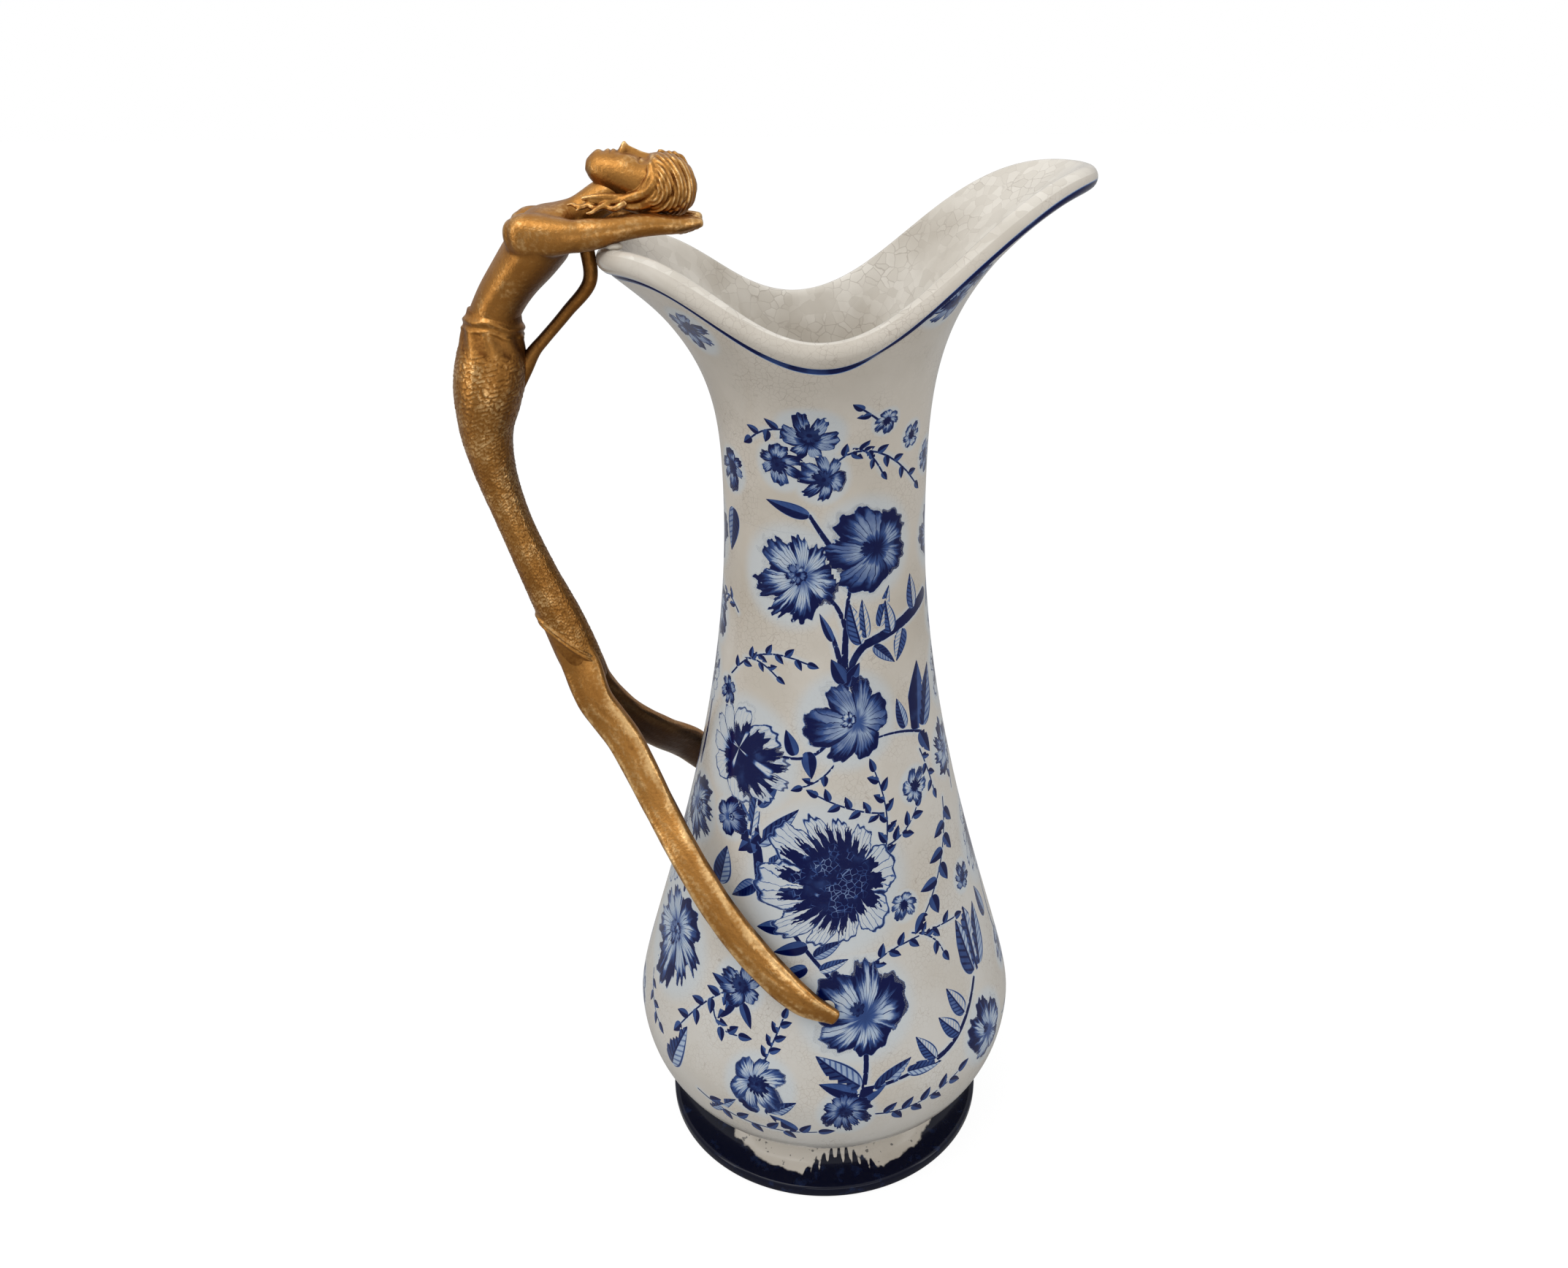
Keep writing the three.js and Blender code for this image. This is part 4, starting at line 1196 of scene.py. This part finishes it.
def makeTorso(plan):
    chest, shoulders, bust, neck = (plan[key] for key in ("chest", "shoulders", "bust", "neck"))
    trunk = [[*onFigure(out, up), deep * chest, wide * shoulders] for out, up, deep, wide in plan["torso"]]
    trunk += [[*onFigure(out, up), neck * share, neck * share] for out, up, share in plan["nape"]]
    shapes = [loft(trunk, 60, 40)]
    cross = rimLine(vesselPlan, np.pi - np.arcsin([plan["armSpread"] / vesselPlan["sideReach"]]))[0]
    height = cross[2] + (vesselPlan["lip"] + plan["arm"]) / 2 + plan["bedding"]
    hands = []
    for side in (-1, 1):
        breast = [[*onFigure(out, up, side * spread * shoulders), deep * bust, wide * bust]
                  for out, up, spread, deep, wide in plan["breast"]]
        shapes.append(bothEnds(squared(loft(breast, 30, 32), 2.3), 0.65))
        arm = [[cross[0] + along * plan["armLength"], side * spread * plan["armSpread"],
                height + up * plan["armLength"], deep * plan["arm"], wide * plan["arm"]]
               for along, up, spread, deep, wide in plan["arms"]]
        shapes.append(bothEnds(loft(arm, 60, 28), 0.6))
        hands.append((side, arm[-1][:3]))
    piece = castPiece("bronze_figure", shapes, 0.45, 9)
    x, y, z = points = readPoints(piece.data).T
    # fingers: three shallow grooves along each hand, fading in past the wrist
    depth, width = plan["fingerGroove"]
    lower = np.zeros(len(x))
    for side, (handX, handY, handZ) in hands:
        over = easeStep(x, handX - 9, handX - 4) * (z > handZ - 3) * (y * side > 0)
        across = y - handY - side * 0.25 * (handX - x)
        lower += depth * over * sum(hump(across, gap, width) for gap in plan["fingerGaps"])
    writePoints(piece.data, (points - np.outer(upright, lower)).T)
    normals = readNormals(piece.data)
    # painted shade on faces turned towards the vessel and downwards
    away = np.clip(0.75 * normals[:, 0] - 0.75 * normals[:, 2], 0, 1)
    tone(piece, reliefOf(piece.data, 30, 0.7), 0.55 * away)
    dress(piece, bronze, "bronze", "torso", "near_arm", "far_arm")


makeTorso(figurePlan)

headPlan = {  # millimetres and degrees, in the head's own axes: a to the crown, f to the face, y to the side
    "over": 11.1,
    "lift": 22.6,
    "tilt": 11.0,
    # a, f, depth, width of the bare head from chin to crown
    "sections": [
        (-16.2, 1.4, 3.0, 3.6),
        (-14.8, 1.4, 6.6, 7.6),
        (-11.5, 1.2, 10.4, 11.6),
        (-7.0, 0.8, 12.6, 15.0),
        (-1.0, -0.2, 15.0, 17.4),
        (5.0, -0.6, 17.0, 18.4),
        (10.5, -0.8, 15.8, 17.0),
        (14.8, -1.0, 10.6, 11.4),
        (16.8, -1.2, 3.5, 4.0),
    ],
    # soft mounds and hollows of the face: height, place to the side and towards the crown, spread in both
    "face": [
        (-1.3, 3.7, 0.3, 2.2, 1.7),  # eye sockets
        (0.95, 3.8, 0.0, 1.6, 1.1),  # lids
        (0.45, 3.5, 2.7, 2.6, 0.8),  # brows
        (0.6, 5.0, -4.6, 2.2, 2.4),  # cheeks
        (0.7, 1.35, -6.3, 0.7, 0.8),  # nostrils' wings
        (0.8, 0.0, -5.9, 1.0, 1.0),  # tip of the nose
        (0.5, 0.7, -8.7, 1.8, 0.8),  # upper lip
        (0.5, 0.0, -10.2, 1.8, 0.9),  # lower lip
        (-0.45, 0.0, -9.45, 2.4, 0.4),  # between the lips
        (-0.35, 0.0, -11.6, 1.6, 0.6),  # under the lips
        (0.8, 0.0, -13.4, 2.0, 1.5),  # chin
    ],
    "noseRidge": [(-7.4, 0.0), (-6.4, 1.9), (-5.6, 2.3), (1.0, 0.7), (2.6, 0.2)],  # a and height
    "cap": (7.4, -0.4, 10.2, 10.4, 9.5),  # hair's a and f, then its half length, half width and half depth
    "ear": (2.0, -1.0),  # a and f about which the strands run
    "lockWidth": 1.6,
    "lockTaper": (0.4, 0.9, 1.0, 1.0, 0.85, 0.7, 0.35),
    "lockShares": [0.0, 0.13, 0.22, 0.36, 0.46, 0.6, 0.72, 0.85, 1.0],  # from the parting to the cheek
    # a and f along the lock nearest the parting and along the lock nearest the cheek
    "firstLock": [(4.6, 8.8), (12.0, 6.2), (15.0, -1.0), (9.0, -6.6), (-2.0, -7.6)],
    "lastLock": [(2.2, 5.6), (3.2, 1.4), (0.2, -3.0), (-6.5, -5.8), (-16.0, -7.2)],
    "neckOut": 8.6,  # how far to the side a lock lies once it has left the cap
    "looseEnds": (8.6, 9.8, 11.0),  # the same for each loose end
    "looseTaper": (1.0, 1.0, 0.9, 0.8, 0.4),
    "strandRise": 0.16,
}


class HeadAxes:
    def __init__(self, plan):
        tilt = np.radians(plan["tilt"])
        self.middle = rest + np.array([plan["over"], 0, plan["lift"]])
        self.crown = np.array([np.cos(tilt), 0, -np.sin(tilt)])
        self.face = np.array([np.sin(tilt), 0, np.cos(tilt)])

    def place(self, a, f, y):
        out = np.multiply.outer
        return self.middle + out(a, self.crown) + out(f, self.face) + out(y, np.array([0, 1, 0]))

    def read(self, points):
        local = points - self.middle
        return local @ self.crown, local @ self.face, local[:, 1]


def lockTube(axes, places, widths, core):
    # a tapering flattened tube through places a, f, y, which lies flat round the core
    at = smoothPath(axes.place(*np.array(places, float).T), 40)
    along = unit(np.gradient(at, axis=0))
    across = unit(np.cross(along, unit(at - core)))
    lift = np.cross(across, along)
    half = np.interp(np.linspace(0, 1, 40), np.linspace(0, 1, len(widths)), widths)[:, None, None]
    angle = fullCircle(12)[None, :, None]
    return at[:, None] + half * (np.cos(angle) * across[:, None] + 0.9 * np.sin(angle) * lift[:, None])


def hairLocks(plan, axes):
    # locks sweep back from the brow, down behind the cheek and forward again to the shoulder
    capA, capF, long, wide, deep = plan["cap"]
    core = axes.place(*plan["ear"], 0.0)
    first, last = np.array(plan["firstLock"]), np.array(plan["lastLock"])
    locks = []

    def shell(a, f, lift):
        # distance to the side at which a lock lies on the cap, and beside the neck once it has left the cap
        inside = 1 - ((a - capA) / (long + 0.6)) ** 2 - ((f - capF) / (deep + 0.6)) ** 2
        onCap = easeStep(a, -1.0, 5.0)
        dome = (wide + lift) * np.sqrt(np.clip(inside, 0.004, 1))
        return onCap * dome + (1 - onCap) * (plan["neckOut"] + lift)

    for side in (-1, 1):
        for k, q in enumerate(plan["lockShares"]):
            stations = np.c_[(1 - q) * first + q * last, np.zeros(len(first))]
            a, f, _ = smoothPath(stations, 15).T
            wave = np.sin(np.linspace(0, 9 + 2 * np.sin(5 * k), 15) + 2.3 * k)
            lift = 0.35 + 0.3 * np.sin(2.1 * k) + 0.25 * wave
            places = np.c_[a, f, side * shell(a, f, lift)]
            places[2:, 1] += 0.55 * wave[2:]
            width = plan["lockWidth"] * (0.85 + 0.35 * np.sin(4.1 * k + side))
            locks.append(lockTube(axes, places, np.array(plan["lockTaper"]) * width, core))
        # loose ends trail on to the arm
        for k, out in enumerate(plan["looseEnds"]):
            a = np.linspace(-7.0 + 2 * k, -20.0 + 3 * k, 9)
            f = np.linspace(-6.6, -10.6, 9) + 0.6 * np.sin(a * 0.9 + 2 * k)
            y = side * (out + 0.7 * np.cos(a * 0.8 + 2 * k))
            locks.append(lockTube(axes, np.c_[a, f, y], plan["looseTaper"], core))
    return locks


def faceRelief(plan, a, y):
    # sum of bells on both sides of the face, a ridge for the nose and a fine line along each lid
    out = np.abs(y)
    ridgeA, ridgeHigh = np.array(plan["noseRidge"]).T
    height = np.zeros(len(a))
    for rise, atY, atA, spreadY, spreadA in plan["face"]:
        height += rise * hump(out, atY, spreadY) * hump(a, atA, spreadA)
    height += np.interp(a, ridgeA, ridgeHigh) * hump(y, 0, 1.15)
    lidLine = hump(a + 0.95 - 0.14 * (out - 3.8) ** 2, 0, 0.36) * (np.abs(out - 3.8) < 1.9)
    return height - 0.3 * lidLine


def makeHead(plan):
    axes = HeadAxes(plan)
    sections = [[*axes.place(a, f, 0.0), deep, wide] for a, f, deep, wide in plan["sections"]]
    capA, capF, long, wide, deep = plan["cap"]
    capAxes = np.array([axes.crown * long, [0, wide, 0], np.cross(axes.crown, [0, deep, 0])])
    shapes = [loft(sections, 60, 40), egg(axes.place(capA, capF, 0.0), capAxes)]
    piece = castPiece("bronze_head", shapes + hairLocks(plan, axes), 0.3, 2)

    points = readPoints(piece.data)
    a, f, y = axes.read(points)
    front = easeStep(f, 1.0, 4.0) * easeStep(a, 5.2, 3.6)
    points += np.outer(front * faceRelief(plan, a, y), axes.face)
    # fine strands run along the locks, so they ripple with the distance from the ear
    earA, earF = a - plan["ear"][0], f - plan["ear"][1]
    ripple = np.sin(5.2 * np.hypot(earA, earF) + 1.5 * np.sin(3 * np.arctan2(earF, earA)) + 0.6 * y)
    points += readNormals(piece.data) * (plan["strandRise"] * ripple * easeStep(a, 3.6, 6.0))[:, None]
    writePoints(piece.data, points)
    # painted shade on faces that look down
    away = np.clip(-readNormals(piece.data)[:, 2], 0, 1)
    tone(piece, reliefOf(piece.data, 14, 0.35), 0.6 * away)
    dress(piece, bronze, "bronze", "head")


makeHead(headPlan)

tailPlan = {  # millimetres; places are shares of the line from waist to split
    "splitHeight": 205.0,
    "splitStandoff": 48.0,
    "bow": 12.0,
    "depth": 22.2,
    "width": 24.0,
    # share, bow, depth, width
    "sections": [
        (-0.012, -0.04, 0.74, 0.71),
        (0.06, 0.18, 0.88, 0.84),
        (0.13, 0.4, 0.98, 0.95),
        (0.2, 0.66, 0.95, 1.0),
        (0.3, 0.95, 0.75, 0.8),
        (0.41, 1.01, 0.595, 0.62),
        (0.55, 0.875, 0.5, 0.52),
        (0.72, 0.57, 0.545, 0.5),
        (0.87, 0.24, 0.645, 0.54),
        (1.0, 0.0, 0.66, 0.54),
        (1.06, -0.14, 0.56, 0.46),
    ],
    "scalesRound": 34,
    "scaleLong": 0.9,  # a scale's step along the tail, in shares of its width
    "scaleRise": 0.42,
    "hemPlace": (0.935, 0.1),  # share at which the hem lies, and how far it drops on the inner side
    "hem": [(0.9, 0.0, 0.0085), (0.7, 0.02, 0.006)],  # rise, place and spread of its two cords
    "belt": [(0.75, 0.0, 0.008), (0.3, 0.022, 0.005)],
    "beltPlace": 0.012,
    "foldRise": 0.3,
    "columns": 182,
    "rows": 460,
}


def bodyRadius(z):
    profile = bodyProfile(vesselPlan, 100, 400)
    return np.interp(z, profile[:, 1], profile[:, 0])


waist = onFigure(1, -0.468)
splitRadius = bodyRadius(tailPlan["splitHeight"]) + tailPlan["splitStandoff"]
split = np.array([-splitRadius, 0, tailPlan["splitHeight"]])


def tailStation(plan, share):
    # middle, depth and width of the tail at a share of its line
    table = np.array(plan["sections"])
    bow, deep, wide = (np.interp(share, table[:, 0], table[:, k]) for k in (1, 2, 3))
    middle = waist + share * (split - waist) - np.array([bow * plan["bow"], 0, 0])
    return [*middle, deep * plan["depth"], wide * plan["width"]]


def scaleRelief(around, along):
    # overlapping scales in staggered rows: each is a rounded tongue that rises towards its free edge
    relief = np.zeros(np.broadcast(around, along).shape)
    row = np.floor(along)
    for back in (0, 1):
        shift = 0.5 * ((row - back) % 2)
        u = (around + shift) % 1 - 0.5
        v = along - row + back
        inside = 1 - (u / 0.54) ** 2 - (np.maximum(v - 0.7, 0) / 0.75) ** 2
        scaleName = np.floor(around + shift) * 12.99 + (row - back) * 78.23
        vary = 0.65 + 0.35 * np.modf(np.abs(np.sin(scaleName)) * 437.5)[0]
        tongue = np.where(inside > 0, vary * (0.25 + 0.45 * v) * easeStep(inside, 0, 0.35), 0)
        relief = np.maximum(relief, tongue)
    return relief


def makeTail(plan):
    rings = loft([tailStation(plan, row[0]) for row in plan["sections"]], plan["rows"], plan["columns"])
    centre = rings.mean(1, keepdims=True)
    run = runAlong(centre[:, 0])
    girth = np.linalg.norm(np.diff(rings, axis=1), axis=2).sum(1)
    step = plan["scaleLong"] * girth / plan["scalesRound"]
    scaleRow = np.r_[0, np.cumsum(np.diff(run) / ((step[1:] + step[:-1]) / 2))][:, None]
    angle = fullCircle(plan["columns"])[None]
    outward = unit(rings - centre)
    start, end = plan["sections"][0][0], plan["sections"][-1][0]
    share = start + (end - start) * (run / run[-1])[:, None]

    # scales wander a little in both directions, and fade under the belt
    around = angle / (2 * np.pi) * plan["scalesRound"] + 0.4 * np.sin(scaleRow * 1.7 + 8 * angle)
    waver = 0.12 * np.sin(3 * angle + 0.5) + 0.08 * np.sin(7 * angle) + 0.35 * np.sin(11 * angle - scaleRow)
    relief = scaleRelief(around + 0.15 * np.sin(scaleRow * 0.9), scaleRow + waver)
    # the hem drops from the outer side round to the inner one, where it fades
    reach = outward[..., 0]
    hemAt, hemDrop = plan["hemPlace"]
    hem = (hemAt + hemDrop * reach) - share  # share of the tail still to go before the hem
    cover = easeStep(hem, 0.004, 0.012) * easeStep(share, 0.045, 0.11)
    height = plan["scaleRise"] * relief * cover
    height += easeStep(reach, 0.95, 0.5) * sum(rise * hump(hem, at, wide) for rise, at, wide in plan["hem"])
    belt = share - plan["beltPlace"] - 0.006 * np.sin(2 * angle + 1.0) - 0.003 * np.sin(5 * angle)
    height += sum(rise * hump(belt, at, wide) for rise, at, wide in plan["belt"])
    folds = np.sin(angle * 9 + share * 60) * easeStep(share, 0.02, 0.04) * easeStep(share, 0.1, 0.05)
    height += plan["foldRise"] * folds

    piece = wrapPiece("bronze_tail", roundEnd(rings + outward * height[..., None], 0.5))
    shown = np.clip((height - 0.15) / 0.15, -1, 0.3) * np.maximum(cover, 0.3)
    normals = readNormals(piece.data)
    relief = np.zeros(len(normals))
    relief[: shown.size] = shown.ravel()
    # painted shade on the faces turned towards the vessel
    tone(piece, relief, 0.6 * np.clip(normals[:, 0], 0, 1))
    dress(piece, bronze, "bronze", "tail")


makeTail(tailPlan)

flukePlan = {  # millimetres and degrees
    "tipHeight": 94.0,
    "tipTurn": 86.6,
    "width": 12.4,
    "thickness": 6.6,
    "bedding": 1.5,
    "square": 3.0,
    # the far fluke drops faster from the tail, then runs flatter and broader by the wall: by how much, at
    # which share of the turn, and the spread; its breadth is in shares of the rise
    "farDip": (5.0, 0.12, 0.08),
    "farRise": (3.6, 0.38, 0.2),
    "farBroad": 1.1,
    # inside the tail's end: share of the tail's line, depth in shares of the tail's, thickness
    "root": [(0.85, 0.7, 0.8), (0.95, 0.86, 0.92), (1.01, 0.95, 1.0)],
    # turn, fall, standoff, width and thickness as shares
    "sections": [
        (0.03, 0.11, 0.88, 1.02, 1.05),
        (0.097, 0.233, 0.643, 1.0, 1.0),
        (0.233, 0.421, 0.396, 0.92, 0.97),
        (0.4, 0.556, 0.28, 0.9, 0.95),
        (0.576, 0.698, 0.202, 0.93, 0.95),
        (0.74, 0.825, 0.152, 0.95, 0.9),
        (0.893, 0.942, 0.104, 0.82, 0.75),
    ],
    "tip": (0.46, 0.5),
    "rows": 220,
    "columns": 72,
}


def offWall(side, turn, z, standoff):
    # point at a turn from the handle, at a height, standing off the vessel's wall
    radius = bodyRadius(z) + standoff
    return [-radius * np.cos(np.radians(turn)), side * radius * np.sin(np.radians(turn)), z]


def makeFluke(plan, name, side):
    width, thickness = plan["width"], plan["thickness"]
    rise, riseAt, riseSpread = plan["farRise"]
    dip, dipAt, dipSpread = plan["farDip"]
    far = side > 0
    rootTurn = np.degrees(np.arcsin((thickness / 2 + 0.3) / -split[0]))
    fall = tailPlan["splitHeight"] - plan["tipHeight"]
    line = []
    for share, deep, thick in plan["root"]:
        x, _, z, tailDeep, _ = tailStation(tailPlan, share)
        line.append([x, side * (thick * thickness / 2 + 0.2), z, deep * tailDeep, thick * thickness])
    for turn, drop, off, wide, thick in plan["sections"]:
        lift = far * rise * hump(turn, riseAt, riseSpread)
        height = tailPlan["splitHeight"] - drop * fall + lift - far * dip * hump(turn, dipAt, dipSpread)
        turn = rootTurn + turn * (plan["tipTurn"] - rootTurn)
        at = offWall(side, turn, height, off * tailPlan["splitStandoff"])
        line.append([*at, wide * width + plan["farBroad"] * lift, thick * thickness])
    wide, thick = plan["tip"]
    tip = offWall(side, plan["tipTurn"], plan["tipHeight"], thick * thickness / 2 + plan["bedding"])
    line.append([*tip, wide * width, thick * thickness])
    rings = loft(line, plan["rows"], plan["columns"])
    centre = rings.mean(1, keepdims=True)
    angle = fullCircle(plan["columns"])[None]
    share = np.linspace(0, 1, plan["rows"])[:, None]
    rings = squared(rings, plan["square"], easeStep(share, 0.08, 0.25))  # a flat strap past its root
    # a crease and a ridge run the length of the outer face, with fine hammered strokes between them
    off = turnBetween(angle, np.pi / 2 if far else 3 * np.pi / 2)
    crease = -0.1 * hump(off, 0.5, 0.15) + 0.1 * hump(off, 0.2, 0.3)
    strokes = 0.02 * np.sin(off * 17 + 3 * np.sin(share * 23))
    strokes = strokes + 0.03 * np.sin(share * 90 + 4 * np.sin(off * 3))
    height = (crease + strokes) * easeStep(share, 0.12, 0.25) * easeStep(share, 0.99, 0.9)
    wornAndHighlit = 0.55 * np.sin(2 * angle) ** 4 * easeStep(share, 0.1, 0.3)  # corners rubbed bright, partly a painted highlight along the strap's edges
    rings = rings + unit(rings - centre) * height[..., None]
    piece = wrapPiece(name, bothEnds(rings, 0.6))
    normals = readNormals(piece.data)
    relief = np.zeros(len(normals))
    dome = (len(relief) - 2 - height.size) // 2  # points of each rounded end
    relief[dome : dome + height.size] = (np.clip(height / 0.4, -1, 1) + wornAndHighlit).ravel()
    # painted shade on the inner faces, turned towards the middle plane and the vessel
    inward = np.clip(-side * normals[:, 1] + 0.3 * normals[:, 0], 0, 1)
    tone(piece, relief, 0.95 * easeStep(inward, 0.15, 0.8))
    dress(piece, bronze, "bronze", name.replace("bronze_", ""))


makeFluke(flukePlan, "bronze_near_fluke", -1)
makeFluke(flukePlan, "bronze_far_fluke", 1)

bracePlan = {  # millimetres
    "thickness": 3.8,
    "drop": 8.0,  # upright run beside the rim
    "hipShare": 0.2,
    "hipOut": 0.2,  # how far the hip's point lies outside the straight line, in shares of the tail's depth
    # depth and width are shares of the thickness: at the nape, beside the lip and at the bend
    "top": [(1.15, 1.3), (1.2, 1.15), (1.15, 1.1)],
    # share of the way from the bend to the hip, depth, width
    "slant": [(0.25, 1.0, 1.0), (0.5, 1.0, 1.0), (0.6, 1.1, 1.0)],
    # towards the vessel and up from the hip, depth, width, down the tail's inner side
    "root": [(8.6, 7.7, 1.5, 1.1), (5.2, 1.7, 1.5, 1.3), (1.5, -5.8, 1.3, 1.2), (-1.5, -12.0, 1.0, 0.9)],
    "rows": 120,
    "columns": 28,
}


def makeBrace(plan):
    # from the nape down beside the lip, then slanting out to the hip, where it spreads into the tail
    thick = plan["thickness"]
    clear = (vesselPlan["lip"] + 1.2 * thick) / 2 + 0.2
    beside = rest - np.array([clear, 0, 0])
    bend = beside - np.array([0, 0, plan["drop"]])
    hip = waist + plan["hipShare"] * (split - waist) - np.array([plan["hipOut"] * tailPlan["depth"], 0, 0])
    nape = onFigure(*figurePlan["nape"][0][:2])
    top = (nape - 4 * upright, beside + 2 * upright, bend + upright)
    line = [(at, *size) for at, size in zip(top, plan["top"])]
    line += [((1 - share) * bend + share * hip, deep, wide) for share, deep, wide in plan["slant"]]
    line += [(hip + np.array([out, 0, up]), deep, wide) for out, up, deep, wide in plan["root"]]
    stations = [[*at, thick * deep, thick * wide] for at, deep, wide in line]
    piece = wrapPiece("bronze_rim_brace", loft(stations, plan["rows"], plan["columns"]))
    normals = readNormals(piece.data)
    shaded = np.clip(normals[:, 2] - 0.6 * normals[:, 0], 0, 1)
    tone(piece, np.full(len(normals), -0.2), 0.3 + 0.6 * shaded)
    dress(piece, bronze, "bronze", "rim_brace")


makeBrace(bracePlan)

cementPlan = {
    "pale": (0.62, 0.58, 0.50, 1),
    "grey": (0.38, 0.34, 0.28, 1),
    "roughness": 0.85,
    "ripple": (0.4, 0.0003),  # bump strength and distance
    "share": 0.62,  # of its node's box that a bed fills
}


def makeCement(plan):
    # small beds under the arms and the tips of the flukes, each a soft blob in its own box
    material, pen, shader = newMaterial("paleCement", Roughness=plan["roughness"])
    cloud = pen.noise(pen.place(), 500, 3)
    pen.join(pen.blend(cloud, plan["pale"], plan["grey"]), shader["Base Color"])
    pen.join(pen.bump(cloud, *plan["ripple"]), shader["Normal"])
    for node in ("near_arm_cement", "far_arm_cement", "near_fluke_cement", "far_fluke_cement"):
        low, high = (np.array(corner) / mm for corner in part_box(node))
        half = (high - low) / 2 * plan["share"]
        piece = wrapPiece(node + "_bed", egg((low + high) / 2, np.diag(half)))
        dress(piece, material, "cement", node)


makeCement(cementPlan)

stagePlan = {
    "floorHalf": 6.0,  # metres
    "floorDrop": 0.0005,
    "floorColour": (0.42, 0.42, 0.42, 1),
    "floorGlow": 0.72,  # share of the floor's look that stays white to the camera; the rest takes the shadow
    "glowStrength": 1.27,
    "zenith": 1.0,  # world light from straight above, from the sides and from below
    "side": 0.5,
    "nadir": 0.2,
    # lamps: place and aim in metres, width, height, watts
    "lamps": [
        ((-0.5, -0.45, 1.15), (0, 0, 0.2), 0.7, 0.7, 3.2),
        ((-0.95, -0.35, 0.45), (0, 0, 0.2), 0.25, 0.8, 1.6),
        ((0.9, -0.45, 0.5), (0, 0, 0.2), 0.25, 0.8, 1.4),
        ((0.1, -1.1, 0.22), (0, 0, 0.06), 0.9, 0.3, 1.3),
    ],
}


def makeFloor(plan):
    mesh = bpy.data.meshes.new("floor")
    corners = np.array([(-1, -1, 0), (1, -1, 0), (1, 1, 0), (-1, 1, 0)]) * plan["floorHalf"]
    mesh.from_pydata(corners, [], [(0, 1, 2, 3)])
    floor = bpy.data.objects.new("floor", mesh)
    floor.location.z = -plan["floorDrop"]
    scene.collection.objects.link(floor)
    material, pen, _ = newMaterial("paleFloor", **{"Roughness": 0.9, "Base Color": plan["floorColour"]})
    nodes = material.node_tree.nodes
    share = pen.wire("LightPath", output="Is Camera Ray") * plan["floorGlow"]
    surface = Wire(pen, nodes["Principled BSDF"].outputs[0])
    glow = pen.wire("Emission", {"Strength": plan["glowStrength"]})
    pen.join(pen.wire("MixShader", {0: share, 1: surface, 2: glow}), nodes["Material Output"].inputs[0])
    mesh.materials.append(material)


def makeWorld(plan):
    world = bpy.data.worlds.new("softWorld")
    world.use_nodes = True
    scene.world = world
    pen = NodePen(world.node_tree)
    height = pen.parts(pen.wire("TexCoord", output="Generated"))[2]
    upper = pen.ease(height, 0.0, 0.9, plan["side"], plan["zenith"])
    light = pen.maths("MINIMUM", upper, pen.ease(height, -0.6, 0.05, plan["nadir"], 1.0))
    seen = pen.wire("LightPath", output="Is Camera Ray")
    background = world.node_tree.nodes["Background"].inputs
    pen.join(pen.highest(light, seen), background["Strength"])
    background["Color"].default_value = (1, 1, 1, 1)


def makeLamps(plan):
    for index, (place, aim, width, tall, watts) in enumerate(plan["lamps"]):
        lamp = bpy.data.lights.new("softBox%d" % index, "AREA")
        lamp.shape = "RECTANGLE"
        lamp.size, lamp.size_y, lamp.energy = width, tall, watts
        box = bpy.data.objects.new(lamp.name, lamp)
        box.location = place
        x, y, z = np.array(aim) - np.array(place)
        box.rotation_euler = (np.arctan2(np.hypot(x, y), -z), 0, np.arctan2(y, x) - np.pi / 2)
        scene.collection.objects.link(box)


makeFloor(stagePlan)
makeWorld(stagePlan)
makeLamps(stagePlan)
print("stage set")
